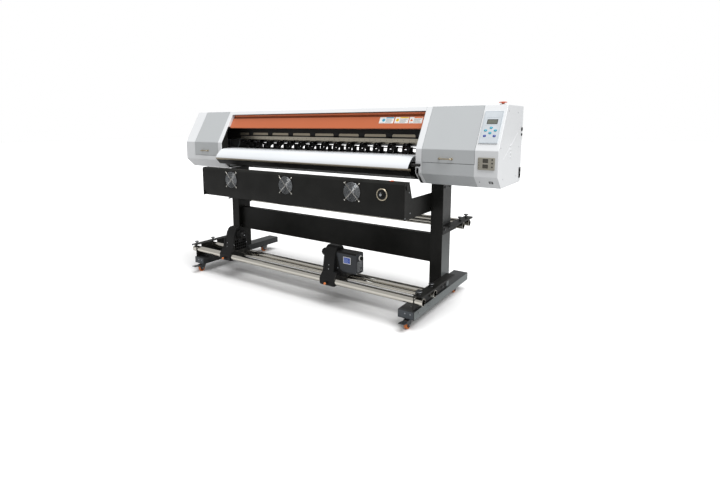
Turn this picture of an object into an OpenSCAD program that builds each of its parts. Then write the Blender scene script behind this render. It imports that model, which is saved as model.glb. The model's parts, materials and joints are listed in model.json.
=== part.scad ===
// Wide-format roll-fed printer on a wheeled stand.
// Two end housings joined by a print bridge, with a front dryer and a take-up below.
// Frame: X along the machine, Y towards the back, Z up, floor at Z = 0.

/* [Machine] */
// Overall length over the end housings
body_len = 2600; // [2400:10:2800]
// Length of the left end housing
left_w = 440; // [400:10:480]
// Length of the right end housing
right_w = 474; // [460:2:500]
// Height of the top surface
z_top = 1242; // [1220:2:1260]
// Height of the fold between the slanted and the upright front
z_break = 997; // [990:1:1004]
// Height of the underside of the end housings
z_bottom = 791; // [785:1:796]
// Depth of the end housings
body_depth = 464; // [440:4:500]
// Sheet thickness of the housings
sheet = 3; // [2:0.5:4]

/* [Stand] */
// Distance from the middle to the middle of each leg
leg_x = 898; // [898:1:898]
// Width of each floor beam
foot_w = 100; // [90:2:110]
// Length of each floor beam
foot_len = 837; // [820:1:837]
// Caster wheel radius
wheel_r = 25; // [24:0.5:25]

/* [Rolls] */
// Outer radius of the two take-up tubes
tube_r = 22; // [21:0.5:22]
// Outer radius of the two feed tubes
feed_tube_r = 21; // [20:0.5:21]
// Radius of the chuck step that fits a core
core_r = 25; // [24:0.5:26]

/* [Media path] */
// Number of pinch rollers
pinch_count = 15; // [13:1:15]
// Distance between pinch rollers
pinch_pitch = 108.5; // [106:0.5:109]
// Radius of the driven feed roller
feed_r = 15; // [14:0.5:15]

/* [Dryer] */
// Radius of each fan opening
fan_r = 57.5; // [55:0.5:58]
// Distance between fans
fan_pitch = 524.5; // [500:0.5:530]
// Position of the rocker switch along the machine
rocker_x = 762; // [757:1:787]

/* [Hidden] */
$fn = 48;

// The depth coordinate of the middle of the whole machine, measured from the housing front
y_mid = 162;
xl = -body_len / 2;
xr = body_len / 2;
// Inner faces of the two end housings
xi_l = xl + left_w;
xi_r = xr - right_w;
y_top = 144;
y_low = 71;
z_chamfer = 856;
slope = atan2(z_top - z_break, y_top);
// Door widths
door_l0 = -1185;
door_l1 = -900;
door_r0 = 866.5;
door_r1 = 1173.5;
door_gap = 1.5;
z_seam = 922;
z_seam_l = 891;

foot_y0 = -229;
foot_y1 = foot_y0 + foot_len;
foot_z0 = 64;
foot_z1 = 113;
col_w = 78;
col_y0 = 160;
col_y1 = 290;
col_in = leg_x - col_w / 2;
col_out = leg_x + col_w / 2;

tube_z = 168;
tube_y1 = -195;
tube_y2 = -38;
rail_y = -86;
rail_z = 165;
rail_r = 13;
feed_z = 490;
feed_y1 = 385;
feed_y2 = 495;
tube_end = 988;
roll_y = (tube_y1 + tube_y2) / 2;
roll_z = 322;

// Stand foot ranges along the machine
ls_x0 = -660;
ls_x1 = -549;
rs_x0 = 287;
rs_x1 = 397;

dry_x = col_in - 3;
fan_x0 = -537;
fan_z = 743;
fan_y = -190;

feed_axis_y = 190;
feed_axis_z = 952 - 15;
pinch_y = 190;
pinch_r = 12;
pinch_z = 952.5 + pinch_r;
shaft_y = 232;
shaft_z = 1002;
pinch_x0 = 10 - (pinch_count - 1) * pinch_pitch / 2;
// Hinge pins of the front hood
hood_y = 153;
hood_z = 1214;
hood_pin = 2;

key_pos = [[1236, 137], [1209, 120.5], [1261, 120.5], [1235, 105.5], [1209.5, 87.5], [1261, 87.5]];

white = [0.93, 0.94, 0.95];
grey = [0.72, 0.73, 0.74];
black = [0.12, 0.12, 0.11];
orange = [0.86, 0.42, 0.24];
chrome_c = [0.8, 0.8, 0.78];

// Puts the machine over the middle of its footprint
module place() translate([0, -y_mid, 0]) children();

module box(x0, x1, y0, y1, z0, z1) translate([x0, y0, z0]) cube([x1 - x0, y1 - y0, z1 - z0]);

// Extrudes a depth-height outline along the machine
module run(x0, x1, pts)
    translate([x0, 0, 0]) rotate([90, 0, 90]) linear_extrude(x1 - x0) polygon(pts);

module rod_x(x0, x1, y, z, r) translate([x0, y, z]) rotate([0, 90, 0]) cylinder(h = x1 - x0, r = r);
module rod_y(y0, y1, x, z, r) translate([x, y0, z]) rotate([-90, 0, 0]) cylinder(h = y1 - y0, r = r);
module rod_z(z0, z1, x, y, r) translate([x, y, z0]) cylinder(h = z1 - z0, r = r);

// Mirrored pair left and right
module pair() {
    children();
    mirror([1, 0, 0]) children();
}

// Local frame on the slanted front: x along the machine, y up the slope, z outwards
module on_slope() translate([0, 0, z_break]) rotate([slope, 0, 0]) children();

function seg_n(a, b) = let (d = b - a, l = norm(d)) [-d[1] / l, d[0] / l];
function corner(n1, n2, t) = let (m = n1 + n2) m * (2 * t / (m * m));
// Open path moved sideways by t
function shifted(p, t) = [for (i = [0:len(p) - 1])
    let (n1 = seg_n(p[max(i - 1, 0)], p[max(i, 1)]),
        n2 = i < len(p) - 1 ? seg_n(p[i], p[i + 1]) : n1)
    p[i] + corner(n1, n2, t)];
function back(p) = [for (i = [len(p) - 1:-1:0]) p[i]];
// Closed outline of a bent sheet along a path
function band(p, t) = concat(p, back(shifted(p, t)));
// Closed outline moved sideways by t
function inset(p, t) = let (n = len(p)) [for (i = [0:n - 1])
    p[i] + corner(seg_n(p[(i + n - 1) % n], p[i]), seg_n(p[i], p[(i + 1) % n]), t)];

// Depth-height outline of an end housing, going round so that inset() moves inwards
function body_profile() = [[0, z_break], [0, z_chamfer], [y_low, z_bottom], [body_depth, z_bottom],
    [body_depth, z_top], [y_top, z_top]];
// Point on the slanted front at a distance up the slope
function on_front(s) = [s * cos(slope), z_break + s * sin(slope)];

// ---- stand ----

module foot_one() {
    difference() {
        box(leg_x - foot_w / 2, leg_x + foot_w / 2, foot_y0, foot_y1, foot_z0, foot_z1);
        box(leg_x - foot_w / 2 + 3, leg_x + foot_w / 2 - 3, foot_y0 + 4, foot_y1 - 4,
            foot_z0 + 3, foot_z1 - 3);
        for (y = [-190, 496]) rod_z(foot_z0 - 5, foot_z0 + 4, leg_x, y, 6.06);
        // Tapped holes in the outer side
        for (y = [-112, 13]) rod_x(leg_x + foot_w / 2 - 4, leg_x + foot_w / 2 + 1, y, 90, 4);
    }
    // Caster mounting plates
    for (y = [-190, 496]) difference() {
        box(leg_x - 32, leg_x + 32, y - 30, y + 30, foot_z0 - 3, foot_z0);
        rod_z(foot_z0 - 4, foot_z0 + 1, leg_x, y, 6.06);
    }
}

module feet() place() color(black) pair() foot_one();

module columns() place() color(black) pair() difference() {
    box(col_in, col_out, col_y0, col_y1, foot_z1, z_bottom);
    box(col_in + 3, col_out - 3, col_y0 + 3, col_y1 - 3, foot_z1 - 1, z_bottom + 1);
    // Spare fixing holes in the outer side
    for (p = [[188, 290], [228, 290], [218, 250]])
        rod_x(col_out - 4, col_out + 1, p[0], p[1], 3.5);
}

module cross_beam() place() color(black) difference() {
    box(-col_in, col_in, 195, 245, 277, 457);
    box(-col_in - 1, col_in + 1, 198, 242, 280, 454);
}

// Angle bracket with round seats for two tubes, standing against a leg
module tube_bracket(y0, y1, z0, z1, ya, yb, zt, r) {
    difference() {
        run(col_out, col_out + 53, [[y0, z0], [y1, z0], [y1, z1], [y0, z1]]);
        run(col_out + 3, col_out + 50, [[y0 - 1, z0 - 1], [y1 + 1, z0 - 1], [y1 + 1, z1 - 3], [y0 - 1, z1 - 3]]);
        run(col_out + 49, col_out + 54, [[y0 - 1, z0 - 1], [y1 + 1, z0 - 1], [y1 + 1, z1 - 11], [y0 - 1, z1 - 11]]);
        for (y = [ya, yb]) {
            rod_x(col_out - 1, col_out + 4, y, zt, r);
            box(col_out - 1, col_out + 4, y - r, y + r, zt, z1 - 3);
            rod_z(z1 - 4, z1 + 1, col_out + 25, y, 4);
        }
    }
}

module roll_brackets() place() color(black) pair() {
    tube_bracket(-222, 250, foot_z1, 205, tube_y1, tube_y2, tube_z, tube_r);
    tube_bracket(165, 547, 468, 525, feed_y1, feed_y2, feed_z, feed_tube_r);
}

module tube(y, z, r) difference() {
    rod_x(-tube_end, tube_end, y, z, r);
    rod_x(-tube_end - 1, tube_end + 1, y, z, r - 2);
}

module media_tubes() place() color(chrome_c) {
    tube(tube_y1, tube_z, tube_r);
    tube(tube_y2, tube_z, tube_r);
    tube(feed_y1, feed_z, feed_tube_r);
    tube(feed_y2, feed_z, feed_tube_r);
    rod_x(-700, col_out - 40, rail_y, rail_z, rail_r);
}

// Hand screw that presses on a tube from above
module hand_screw(x, y, z_tip, z_plate) {
    rod_z(z_tip, z_plate + 8, x, y, 4);
    translate([x, y, z_plate + 8]) cylinder(h = 14, r1 = 7, r2 = 12);
}

module stand_fasteners() place() color(black) {
    pair() {
        for (y = [tube_y1, tube_y2]) hand_screw(col_out + 25, y, tube_z + tube_r, 205);
        for (y = [feed_y1, feed_y2]) hand_screw(col_out + 25, y, feed_z + feed_tube_r, 525);
        // Bolt heads through the brackets into the legs
        for (p = [[178, 135], [232, 135], [190, 497], [262, 497]])
            rod_x(col_out + 3, col_out + 9, p[0], p[1], 7);
        // Cap screws in the side of the floor beams
        for (y = [-165, -40]) rod_x(leg_x + foot_w / 2, leg_x + foot_w / 2 + 4, y, 90, 6);
    }
    // Clamp block that holds the thin rail
    difference() {
        box(col_out - 44, col_out, rail_y - 20, rail_y + 20, rail_z - 20, rail_z + 22);
        rod_x(col_out - 45, col_out - 40, rail_y, rail_z, rail_r);
    }
}

// Swivel fork with its stem, axle and wheel offset to the front
module caster_fork(x, y) {
    rod_z(52, foot_z0 - 3.4, x, y, 22);
    rod_z(52, foot_z0 + 10, x, y, 6);
    for (s = [-1, 1]) translate([x, 0, 0]) run(s > 0 ? 12 : -15, s > 0 ? 15 : -12,
        [[y + 14, 55], [y - 8, 16], [y - 20, 13], [y - 32, 16], [y - 48, 44], [y - 48, 52], [y - 34, 55]]);
    box(x - 15, x + 15, y - 34, y + 14, 52, 55);
    rod_x(x - 18, x + 18, y - 20, wheel_r, 4);
    rod_x(x - 15, x + 15, y - 42, 48, 2.5);
}

module caster_wheel(x, y) difference() {
    union() {
        rod_x(x - 10, x + 10, y - 20, wheel_r, wheel_r);
        rod_x(x - 11.5, x + 11.5, y - 20, wheel_r, 10);
    }
    rod_x(x - 13, x + 13, y - 20, wheel_r, 4.05);
}

// Foot brake plate in front of a fork
module caster_pedal(x, y) difference() {
    union() {
        rod_x(x - 11, x + 11, y - 42, 48, 5);
        run(x - 11, x + 11, [[y - 42, 46], [y - 56, 47.5], [y - 56, 51.5], [y - 42, 50.5]]);
        run(x - 19, x + 19, [[y - 52, 47], [y - 94, 51], [y - 94, 55], [y - 52, 51.5]]);
    }
    rod_x(x - 12, x + 12, y - 42, 48, 2.55);
}

module caster_fork_fl() place() color(black) caster_fork(-leg_x, -190);
module caster_fork_fr() place() color(black) caster_fork(leg_x, -190);
module caster_fork_rl() place() color(black) caster_fork(-leg_x, 496);
module caster_fork_rr() place() color(black) caster_fork(leg_x, 496);
module caster_wheel_fl() place() color(orange) caster_wheel(-leg_x, -190);
module caster_wheel_fr() place() color(orange) caster_wheel(leg_x, -190);
module caster_wheel_rl() place() color(orange) caster_wheel(-leg_x, 496);
module caster_wheel_rr() place() color(orange) caster_wheel(leg_x, 496);
module caster_pedal_fl() place() color(black) caster_pedal(-leg_x, -190);
module caster_pedal_fr() place() color(black) caster_pedal(leg_x, -190);

// ---- take-up ----

// Outline of a take-up stand: a broad foot round both tubes and a tapering post
function stand_outline() = [[-100, 138], [100, 138], [108, 150], [108, 184], [98, 196],
    [74, 222], [62, 300], [52, 340], [34, 368], [16, 378], [-16, 378], [-34, 368],
    [-52, 340], [-62, 300], [-74, 222], [-98, 196], [-108, 184], [-108, 150]];

module stand_body(x0, x1, px0, px1) {
    difference() {
        union() {
            translate([0, roll_y, 0]) run(x0, x1, [[-100, 138], [100, 138], [108, 150], [108, 184],
                [98, 196], [74, 222], [-74, 222], [-98, 196], [-108, 184], [-108, 150]]);
            translate([0, roll_y, 0]) run(px0, px1, [for (p = stand_outline()) if (p[1] > 200) p]);
        }
        rod_x(x0 - 1, x1 + 1, tube_y1, tube_z, tube_r + 0.1);
        rod_x(x0 - 1, x1 + 1, tube_y2, tube_z, tube_r + 0.1);
        rod_x(x0 - 1, x1 + 1, rail_y, rail_z, rail_r + 0.5);
        rod_x(px0 - 1, px1 + 1, roll_y, roll_z, 10.05);
    }
    // Lock screw at the front of the foot
    rod_y(tube_y1 - 46, tube_y1 - 28, (x0 + x1) / 2, 158, 5);
    rod_y(tube_y1 - 52, tube_y1 - 42, (x0 + x1) / 2, 158, 9);
}

module takeup_left_stand() place() color(black) stand_body(ls_x0, ls_x1, -637, ls_x1);

module takeup_right_stand() place() color(black) {
    stand_body(rs_x0, rs_x1, rs_x0, 372);
    // Shelf and cheek that carry the motor box
    box(rs_x1, 452, roll_y - 42, roll_y + 42, 197, 222);
    translate([0, roll_y - 42, 0]) rotate([90, 0, 0]) linear_extrude(3)
        polygon([[372, 222], [438, 222], [402, 240], [380, 318], [372, 330]]);
    box(372, 452, roll_y - 45, roll_y - 42, 197, 222);
}

// Stepped chuck that turns with the roll core
module chuck(x, d) translate([x, roll_y, roll_z]) rotate([0, d * 90, 0]) {
    translate([0, 0, 0.4]) cylinder(h = 16, r = 37);
    translate([0, 0, 16]) cylinder(h = 21, r = core_r);
    translate([0, 0, 37]) cylinder(h = 12, r1 = core_r, r2 = 18);
    translate([0, 0, -60]) cylinder(h = 61, r = 10);
}

module takeup_left_chuck() place() color(black) chuck(ls_x1, 1);
module takeup_right_chuck() place() color(black) chuck(rs_x0, -1);

module takeup_motor_box() place() color(black) difference() {
    union() {
        run(372, 520, [[roll_y - 42, 222], [roll_y + 42, 222], [roll_y + 42, 338],
            [roll_y + 30, 352], [roll_y - 30, 352], [roll_y - 42, 338]]);
        rod_x(520, 523, roll_y + 6, 319, 17);
    }
    rod_x(510, 524, roll_y + 6, 319, 4.06);
}

module takeup_switch() place() color(black) {
    rod_x(512, 530, roll_y + 6, 319, 4);
    rod_x(523.4, 536, roll_y + 6, 319, 11);
    box(535, 541, roll_y + 3, roll_y + 9, 309, 329);
}

// ---- dryer ----

function dryer_outline() = [[-190, 660], [-190, 806], [-178, 820], [-134, 820], [-98, 723],
    [-98, 640], [-130, 608], [-172, 608]];

module dryer_case() place() color(black) {
    difference() {
        run(-dry_x, dry_x, dryer_outline());
        run(-dry_x + 2, dry_x - 2, inset(dryer_outline(), -2));
        for (i = [0:2]) rod_y(fan_y - 1, fan_y + 3, fan_x0 + i * fan_pitch, fan_z, fan_r);
        // Air slots in the back
        for (i = [-7:7]) box(i * 110 - 40, i * 110 + 40, -101, -95, 660, 700);
        rod_y(-191, -180, 717, 744, 4.06);
        box(rocker_x - 11, rocker_x + 11, -173.4, -148.6, 815, 822);
    }
    // Motor mounts of the fans
    for (i = [0:2]) rod_y(-162, -99, fan_x0 + i * fan_pitch, fan_z - 30, 6);
    for (i = [0:2]) difference() {
        rod_y(-164, -158, fan_x0 + i * fan_pitch, fan_z, 34);
        rod_y(-165, -157, fan_x0 + i * fan_pitch, fan_z, 4.06);
    }
    // Scale ring round the dial
    difference() {
        rod_y(-193, -190, 717, 744, 36);
        rod_y(-194, -189, 717, 744, 4.06);
    }
}

module dryer_arms() place() color(black) pair()
    run(dry_x, dry_x + 3, [[-190, 607], [-190, 808], [-182, 820], [-131, 820], [-98, 723],
        [col_y1, 723], [col_y1, 607]]);

module dryer_guards() place() color(chrome_c) for (i = [0:2])
    translate([fan_x0 + i * fan_pitch, fan_y, fan_z]) rotate([90, 0, 0]) {
        difference() {
            cylinder(h = 2, r = 22);
            translate([0, 0, -1]) cylinder(h = 4, r = 17);
        }
        for (r = [34, 46, 57.5]) difference() {
            cylinder(h = 2, r = r + 1);
            translate([0, 0, -1]) cylinder(h = 4, r = r - 1);
        }
        for (a = [45:90:315]) rotate(a) translate([18, -2.5, 0]) cube([56, 5, 2.5]);
    }

module fan(i) place() color(black)
    translate([fan_x0 + i * fan_pitch, fan_y + 5, fan_z]) rotate([-90, 0, 0]) {
        cylinder(h = 18, r = 20);
        translate([0, 0, 17]) cylinder(h = 12, r = 4);
        for (a = [0:60:300]) rotate(a) translate([18, -9, 6]) rotate([35, 0, 0]) cube([35, 18, 2]);
    }

module dryer_fan_1() fan(0);
module dryer_fan_2() fan(1);
module dryer_fan_3() fan(2);

module dryer_dial() place() color(black) {
    rod_y(-195.5, -184, 717, 744, 4);
    rod_y(-208, -193.4, 717, 744, 17);
    box(715, 719, -209, -207, 746, 760);
}

module dryer_switch() place() color(orange)
    run(rocker_x - 10, rocker_x + 10, [[-172, 817], [-172, 824], [-161, 821.5], [-150, 824], [-150, 817]]);

// ---- end housings ----

// Opening in the inner wall for the bridge and the carriage
function pass_outline() = [[68, 944], [176, 944], [200, 1015], [290, 1015], [290, 1182],
    [152, 1182], [98, 1108], [68, 1096]];

module inner_wall_cut(x0, x1) {
    run(x0, x1, pass_outline());
    rod_x(x0, x1, feed_axis_y, feed_axis_z, 6.06);
    rod_x(x0, x1, shaft_y, shaft_z, 6.06);
    rod_x(x0, x1, 54, 884, 5.06);
    rod_x(x0, x1, hood_y, hood_z, hood_pin + 0.05);
}

module side_slots(x0, x1) for (i = [0:3])
    box(x0, x1, 207 + 4.5 * i, 229 + 4.5 * i, 948.5 + 22 * (3 - i), 954 + 22 * (3 - i));

module left_housing() place() color(white) difference() {
    run(xl, xi_l, body_profile());
    run(xl + sheet, xi_l - sheet, inset(body_profile(), sheet));
    inner_wall_cut(xi_l - sheet - 1, xi_l + 1);
    side_slots(xl - 1, xl + sheet + 1);
    run(door_l0 - door_gap, door_l1 + door_gap, door_void(z_seam_l));
    // Cable way in the underside above the leg
    rod_z(z_bottom - 1, z_bottom + sheet + 1, -leg_x, 225, 20);
}

// Outline cut out of the front for a door that starts at height z0
function door_void(z0) = [[-5, z0 - door_gap], [20, z0 - door_gap], [20, z_break - 20],
    on_front(281) + [24, -24], on_front(281.5), on_front(281.5) + [-20, 12], [-5, z_break]];

// Path of a door skin from its lower edge over the fold to its upper edge
function door_path(z0) = [[0, z0], [0, z_break], on_front(280)];

module bow_handle(x, z, w) {
    for (s = [-1, 1]) rod_y(-22, 0.5, x + s * w / 2, z, 4);
    rod_x(x - w / 2 - 4, x + w / 2 + 4, -22, z, 4);
}

module door(x0, x1, z0, hx, hz) {
    run(x0, x1, band(door_path(z0), -sheet));
    // Return flange along the lower edge
    run(x0, x1, [[0, z0], [16, z0], [16, z0 + sheet], [0, z0 + sheet]]);
    bow_handle(hx, hz, 78);
}

module left_door() place() color(grey) door(door_l0, door_l1, z_seam_l, -1058, 929);
module right_door() place() color(grey) door(door_r0, door_r1, z_seam, 1010, 946);

module right_housing() place() color(white) {
    difference() {
        run(xi_r, xr, body_profile());
        run(xi_r + sheet, xr - sheet, inset(body_profile(), sheet));
        inner_wall_cut(xi_r - 1, xi_r + sheet + 1);
        side_slots(xr - sheet - 1, xr + 1);
        run(door_r0 - door_gap, door_r1 + door_gap, door_void(z_seam));
        run(door_r0, door_r1, [[-5, z_seam - door_gap + 1], [20, z_seam - door_gap + 1], [20, z_chamfer + 10],
            [y_low + 6, z_bottom + sheet + 5], [y_low + 6, z_bottom - 5], [-5, z_bottom - 5]]);
        rod_z(z_bottom - 1, z_bottom + sheet + 1, leg_x, 225, 20);
        rod_z(z_top - sheet - 1, z_top + 1, 1254, 200, 8.06);
        // Power inlet cut-outs near the back of the side
        box(xr - sheet - 1, xr + 1, 424, 452, 853, 873);
        box(xr - sheet - 1, xr + 1, 424, 452, 824, 844);
    }
    // Collar of the emergency stop
    difference() {
        rod_z(z_top, z_top + 5, 1254, 200, 17);
        rod_z(z_top - 1, z_top + 6, 1254, 200, 8.06);
    }
}

module right_lower_cover() place() color(grey) difference() {
    run(door_r0, door_r1, band([[0, z_seam - door_gap - 0.5], [0, z_chamfer], [y_low, z_bottom],
        [y_low + 6, z_bottom]], sheet));
}

module power_inlets() place() color(black) for (z = [863, 834]) {
    difference() {
        union() {
            box(xr - 22, xr, 424, 452, z - 10, z + 10);
            box(xr - 7, xr - sheet, 420, 456, z - 13, z + 13);
        }
        box(xr - 16, xr + 3, 428, 448, z - 7, z + 7);
    }
    for (p = [[433, 3], [443, 3], [438, -3]]) rod_x(xr - 18, xr - 6, p[0], z + p[1], 1.5);
}

// ---- controls ----

module control_panel() place() color([0.86, 0.88, 0.91]) on_slope() difference() {
    translate([1185, 43, 0]) cube([100, 198.5, 5]);
    // Display window
    translate([1207, 159, 3]) cube([57, 30, 3]);
    for (p = key_pos) translate([p[0] - 8.4, p[1] - 6.4, -1]) cube([16.8, 12.8, 7]);
}

module panel_key(i) place() color([0.2, 0.55, 0.75]) on_slope()
    translate([key_pos[i][0] - 8, key_pos[i][1] - 6, 2]) cube([16, 12, 5]);

module panel_key_1() panel_key(0);
module panel_key_2() panel_key(1);
module panel_key_3() panel_key(2);
module panel_key_4() panel_key(3);
module panel_key_5() panel_key(4);
module panel_key_6() panel_key(5);

module temperature_controller() place() color([0.6, 0.6, 0.56]) difference() {
    box(1194, 1283, -6, 0, 896, 961);
    // Two display windows
    box(1220, 1249, -7, -4, 934, 955);
    box(1220, 1249, -7, -4, 905, 926);
}

module emergency_stop() place() color([0.8, 0.3, 0.2]) {
    rod_z(z_top - 12, z_top + 12, 1254, 200, 8);
    rod_z(z_top + 11, z_top + 15, 1254, 200, 21);
    translate([1254, 200, z_top + 15]) cylinder(h = 3, r1 = 21, r2 = 16);
}

// ---- bridge ----

module front_hood() place() color(orange) {
    on_slope() translate([0, 0, -21.5]) difference() {
        translate([xi_l + 2, 147, -10]) cube([xi_r - xi_l - 4, 115, 10]);
        // Finger groove
        translate([xi_l, 230, -6]) cube([xi_r - xi_l, 18, 7]);
        // Hollow back
        translate([xi_l + 8, 153, -11]) cube([xi_r - xi_l - 16, 72, 7]);
    }
    rod_x(xi_l - 2.5, xi_l + 6, hood_y, hood_z, hood_pin);
    rod_x(xi_r - 6, xi_r + 2.5, hood_y, hood_z, hood_pin);
}

module top_cover() place() color(white) {
    run(xi_l, xi_r, band([[182, 1218], on_front(254), [y_top, z_top], [body_depth, z_top],
        [body_depth, 1015]], -sheet));
}

module print_beam() place() color(black) {
    difference() {
        box(xl + sheet, xr - sheet, 205, 275, 1022, 1170);
        box(xl + sheet - 1, xr - sheet + 1, 210, 270, 1027, 1165);
        // Wiring slots along the front
        for (i = [-7:7]) box(i * 110 - 63, i * 110 + 29, 204, 208, 1051, 1078);
    }
    // Linear rail
    box(xl + sheet, xr - sheet, 195, 205, 1100, 1115);
}

module carriage() place() color(black) {
    difference() {
        run(880, 1140, [[80, 957], [166, 957], [166, 1024], [192, 1050], [203, 1080], [203, 1134],
            [192, 1142], [190, 1165], [150, 1165], [112, 1106], [80, 1090]]);
        box(879, 1141, 194.4, 204, 1099.5, 1115.5);
    }
}

module cap_station() place() color(black) {
    difference() {
        box(890, 1130, 84, 162, 800, 950);
        for (i = [0:3]) box(902 + i * 58, 944 + i * 58, 94, 152, 938, 951);
    }
    box(890, 1130, 84, 162, z_bottom + sheet, 800);
}

function chassis_outline() = [[70, 915], [70, 811], [215, z_bottom], [330, z_bottom], [330, 915]];

module chassis_beam() place() color(black) difference() {
    run(xi_l, xi_r, chassis_outline());
    run(xi_l - 1, xi_r + 1, inset(chassis_outline(), 5));
}

module platen() place() color(white) difference() {
    box(xi_l, xi_r, 60, 172, 915, 952);
    box(xi_l - 1, xi_r + 1, 64, 168, 914, 947);
}

module front_guide() place() color(white)
    run(xi_l, xi_r - 20, band([[60, 951], [30, 951], [8, 947], [-12, 937], [-30, 921],
        [-46, 904], [-56, 889], [-58, 880], [-54, 872], [-40, 872]], 2.5));

module lower_guide() place() color(black)
    run(xi_l, xi_r - 20, [[-50, 872], [-46, 864], [-18, 836], [28, 829], [66, 811], [70, 811],
        [70, 817], [67, 817], [30, 835], [-13, 842], [-40, 866], [-40, 872]]);

module rear_guide() place() color(black) {
    difference() {
        box(xi_l, xi_r, 208, 330, 915, 952);
        box(xi_l - 1, xi_r + 1, 212, 326, 914, 948);
    }
    run(xi_l, xi_r, band([[330, 952], [400, 950], [436, 938], [456, 916], [460, 880]], -3));
}

module feed_roller() place() color(chrome_c) {
    rod_x(xi_l + 4, xi_r - 4, feed_axis_y, feed_axis_z, feed_r);
    rod_x(xi_l - 6, xi_r + 6, feed_axis_y, feed_axis_z, 6);
}

module pinch_arms() place() color(black) {
    rod_x(xi_l - 6, xi_r + 6, shaft_y, shaft_z, 6);
    for (i = [0:pinch_count - 1]) translate([pinch_x0 + i * pinch_pitch, 0, 0]) difference() {
        run(-18, 18, [[178, 962], [184, 956], [196, 956], [204, 972], [240, 992], [242, 1008],
            [232, 1016], [210, 1016], [184, 990]]);
        run(-13.5, 13.5, [[170, 950], [206, 950], [206, 979], [194, 986], [170, 986]]);
        rod_x(-19, 19, pinch_y, pinch_z, 3.05);
    }
}

module pinch_rollers() place() color([0.2, 0.2, 0.2]) for (i = [0:pinch_count - 1])
    translate([pinch_x0 + i * pinch_pitch, 0, 0]) {
        rod_x(-13, 13, pinch_y, pinch_z, pinch_r);
        rod_x(-18, 18, pinch_y, pinch_z, 3);
    }

module pinch_lever() place() color(black) {
    run(xi_r - 15, xi_r - 9, [[56, 874], [64, 882], [62, 892], [50, 896], [-14, 914], [-30, 914],
        [-34, 904], [-28, 896]]);
    rod_x(xi_r - 15, xi_r + 42, -24, 905, 8);
    rod_x(xi_r - 12, xi_r + 6, 54, 884, 5);
}

feet();
columns();
cross_beam();
roll_brackets();
media_tubes();
stand_fasteners();
caster_fork_fl();
caster_fork_fr();
caster_fork_rl();
caster_fork_rr();
caster_wheel_fl();
caster_wheel_fr();
caster_wheel_rl();
caster_wheel_rr();
caster_pedal_fl();
caster_pedal_fr();
takeup_left_stand();
takeup_left_chuck();
takeup_right_stand();
takeup_right_chuck();
takeup_motor_box();
takeup_switch();
dryer_case();
dryer_arms();
dryer_guards();
dryer_fan_1();
dryer_fan_2();
dryer_fan_3();
dryer_dial();
dryer_switch();
left_housing();
left_door();
right_housing();
right_door();
right_lower_cover();
control_panel();
panel_key_1();
panel_key_2();
panel_key_3();
panel_key_4();
panel_key_5();
panel_key_6();
temperature_controller();
emergency_stop();
power_inlets();
front_hood();
top_cover();
print_beam();
carriage();
cap_station();
chassis_beam();
platen();
front_guide();
lower_guide();
rear_guide();
feed_roller();
pinch_arms();
pinch_rollers();
pinch_lever();
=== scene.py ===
"""Wide-format roll printer on a wheeled stand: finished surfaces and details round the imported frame.

Shapes are drawn in machine coordinates, in millimetres: X along the machine from its middle, Y towards the back from
the upright front of the end housings, Z up from the floor. Shape.piece() turns them into metres in the row frame.
"""
import json
import math
import random

import bmesh
import bpy
from mathutils import Matrix, Vector


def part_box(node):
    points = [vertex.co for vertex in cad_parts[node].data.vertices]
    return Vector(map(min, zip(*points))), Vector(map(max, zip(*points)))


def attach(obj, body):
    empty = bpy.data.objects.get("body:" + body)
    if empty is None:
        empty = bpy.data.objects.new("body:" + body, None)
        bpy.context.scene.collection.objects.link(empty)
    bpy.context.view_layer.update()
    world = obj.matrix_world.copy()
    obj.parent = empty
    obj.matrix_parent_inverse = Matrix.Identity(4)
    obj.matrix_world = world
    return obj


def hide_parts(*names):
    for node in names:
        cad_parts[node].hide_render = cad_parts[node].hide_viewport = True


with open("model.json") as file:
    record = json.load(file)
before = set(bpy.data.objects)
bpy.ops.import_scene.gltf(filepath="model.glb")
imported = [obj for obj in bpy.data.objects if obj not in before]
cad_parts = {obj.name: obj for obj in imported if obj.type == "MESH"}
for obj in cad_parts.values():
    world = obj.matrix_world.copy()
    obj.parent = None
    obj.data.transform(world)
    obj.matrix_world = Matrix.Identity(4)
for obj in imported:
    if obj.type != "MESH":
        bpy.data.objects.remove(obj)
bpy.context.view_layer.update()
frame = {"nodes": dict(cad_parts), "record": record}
nodes = frame["nodes"]
scene = bpy.context.scene

MM = 0.001


def span(node):
    """Lowest and highest corners of a CAD node in machine millimetres."""
    low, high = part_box(node)
    shift = Vector((0, DEPTH_MIDDLE, 0))
    return low / MM + shift, high / MM + shift


# Distance from the middle of the whole footprint to the upright front of the housings
DEPTH_MIDDLE = -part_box("right_housing")[0].y / MM
TO_ROW = Matrix.Diagonal((MM, MM, MM, 1)) @ Matrix.Translation((0, -DEPTH_MIDDLE, 0))

# The housings' outline in depth and height
HOUSING_LOW, HOUSING_HIGH = span("right_housing")
LEFT_END = span("left_housing")[0].x
RIGHT_END = HOUSING_HIGH.x
BACK = HOUSING_HIGH.y
BOTTOM = HOUSING_LOW.z
TOP = span("top_cover")[1].z
FOLD_Z = 997
CHAMFER_Z = 856
CHAMFER_Y = 71
TOP_Y = 144
SLOPE = math.atan2(TOP - FOLD_Z, TOP_Y)
INNER_LEFT = span("left_housing")[1].x
INNER_RIGHT = HOUSING_LOW.x
# Local frame of the slanted front: X along the machine, Y up the slope, Z outwards
ON_SLOPE = Matrix.Translation((0, 0, FOLD_Z)) @ Matrix.Rotation(SLOPE, 4, "X")
# Turns a flat depth-height outline so that it can be extruded along the machine
ALONG = Matrix(((0, 0, 1, 0), (1, 0, 0, 0), (0, 1, 0, 0), (0, 0, 0, 1)))
# Axis of the take-up roll
ROLL_Y = (span("takeup_left_chuck")[0].y + span("takeup_left_chuck")[1].y) / 2
ROLL_Z = (span("takeup_left_chuck")[0].z + span("takeup_left_chuck")[1].z) / 2

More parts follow.
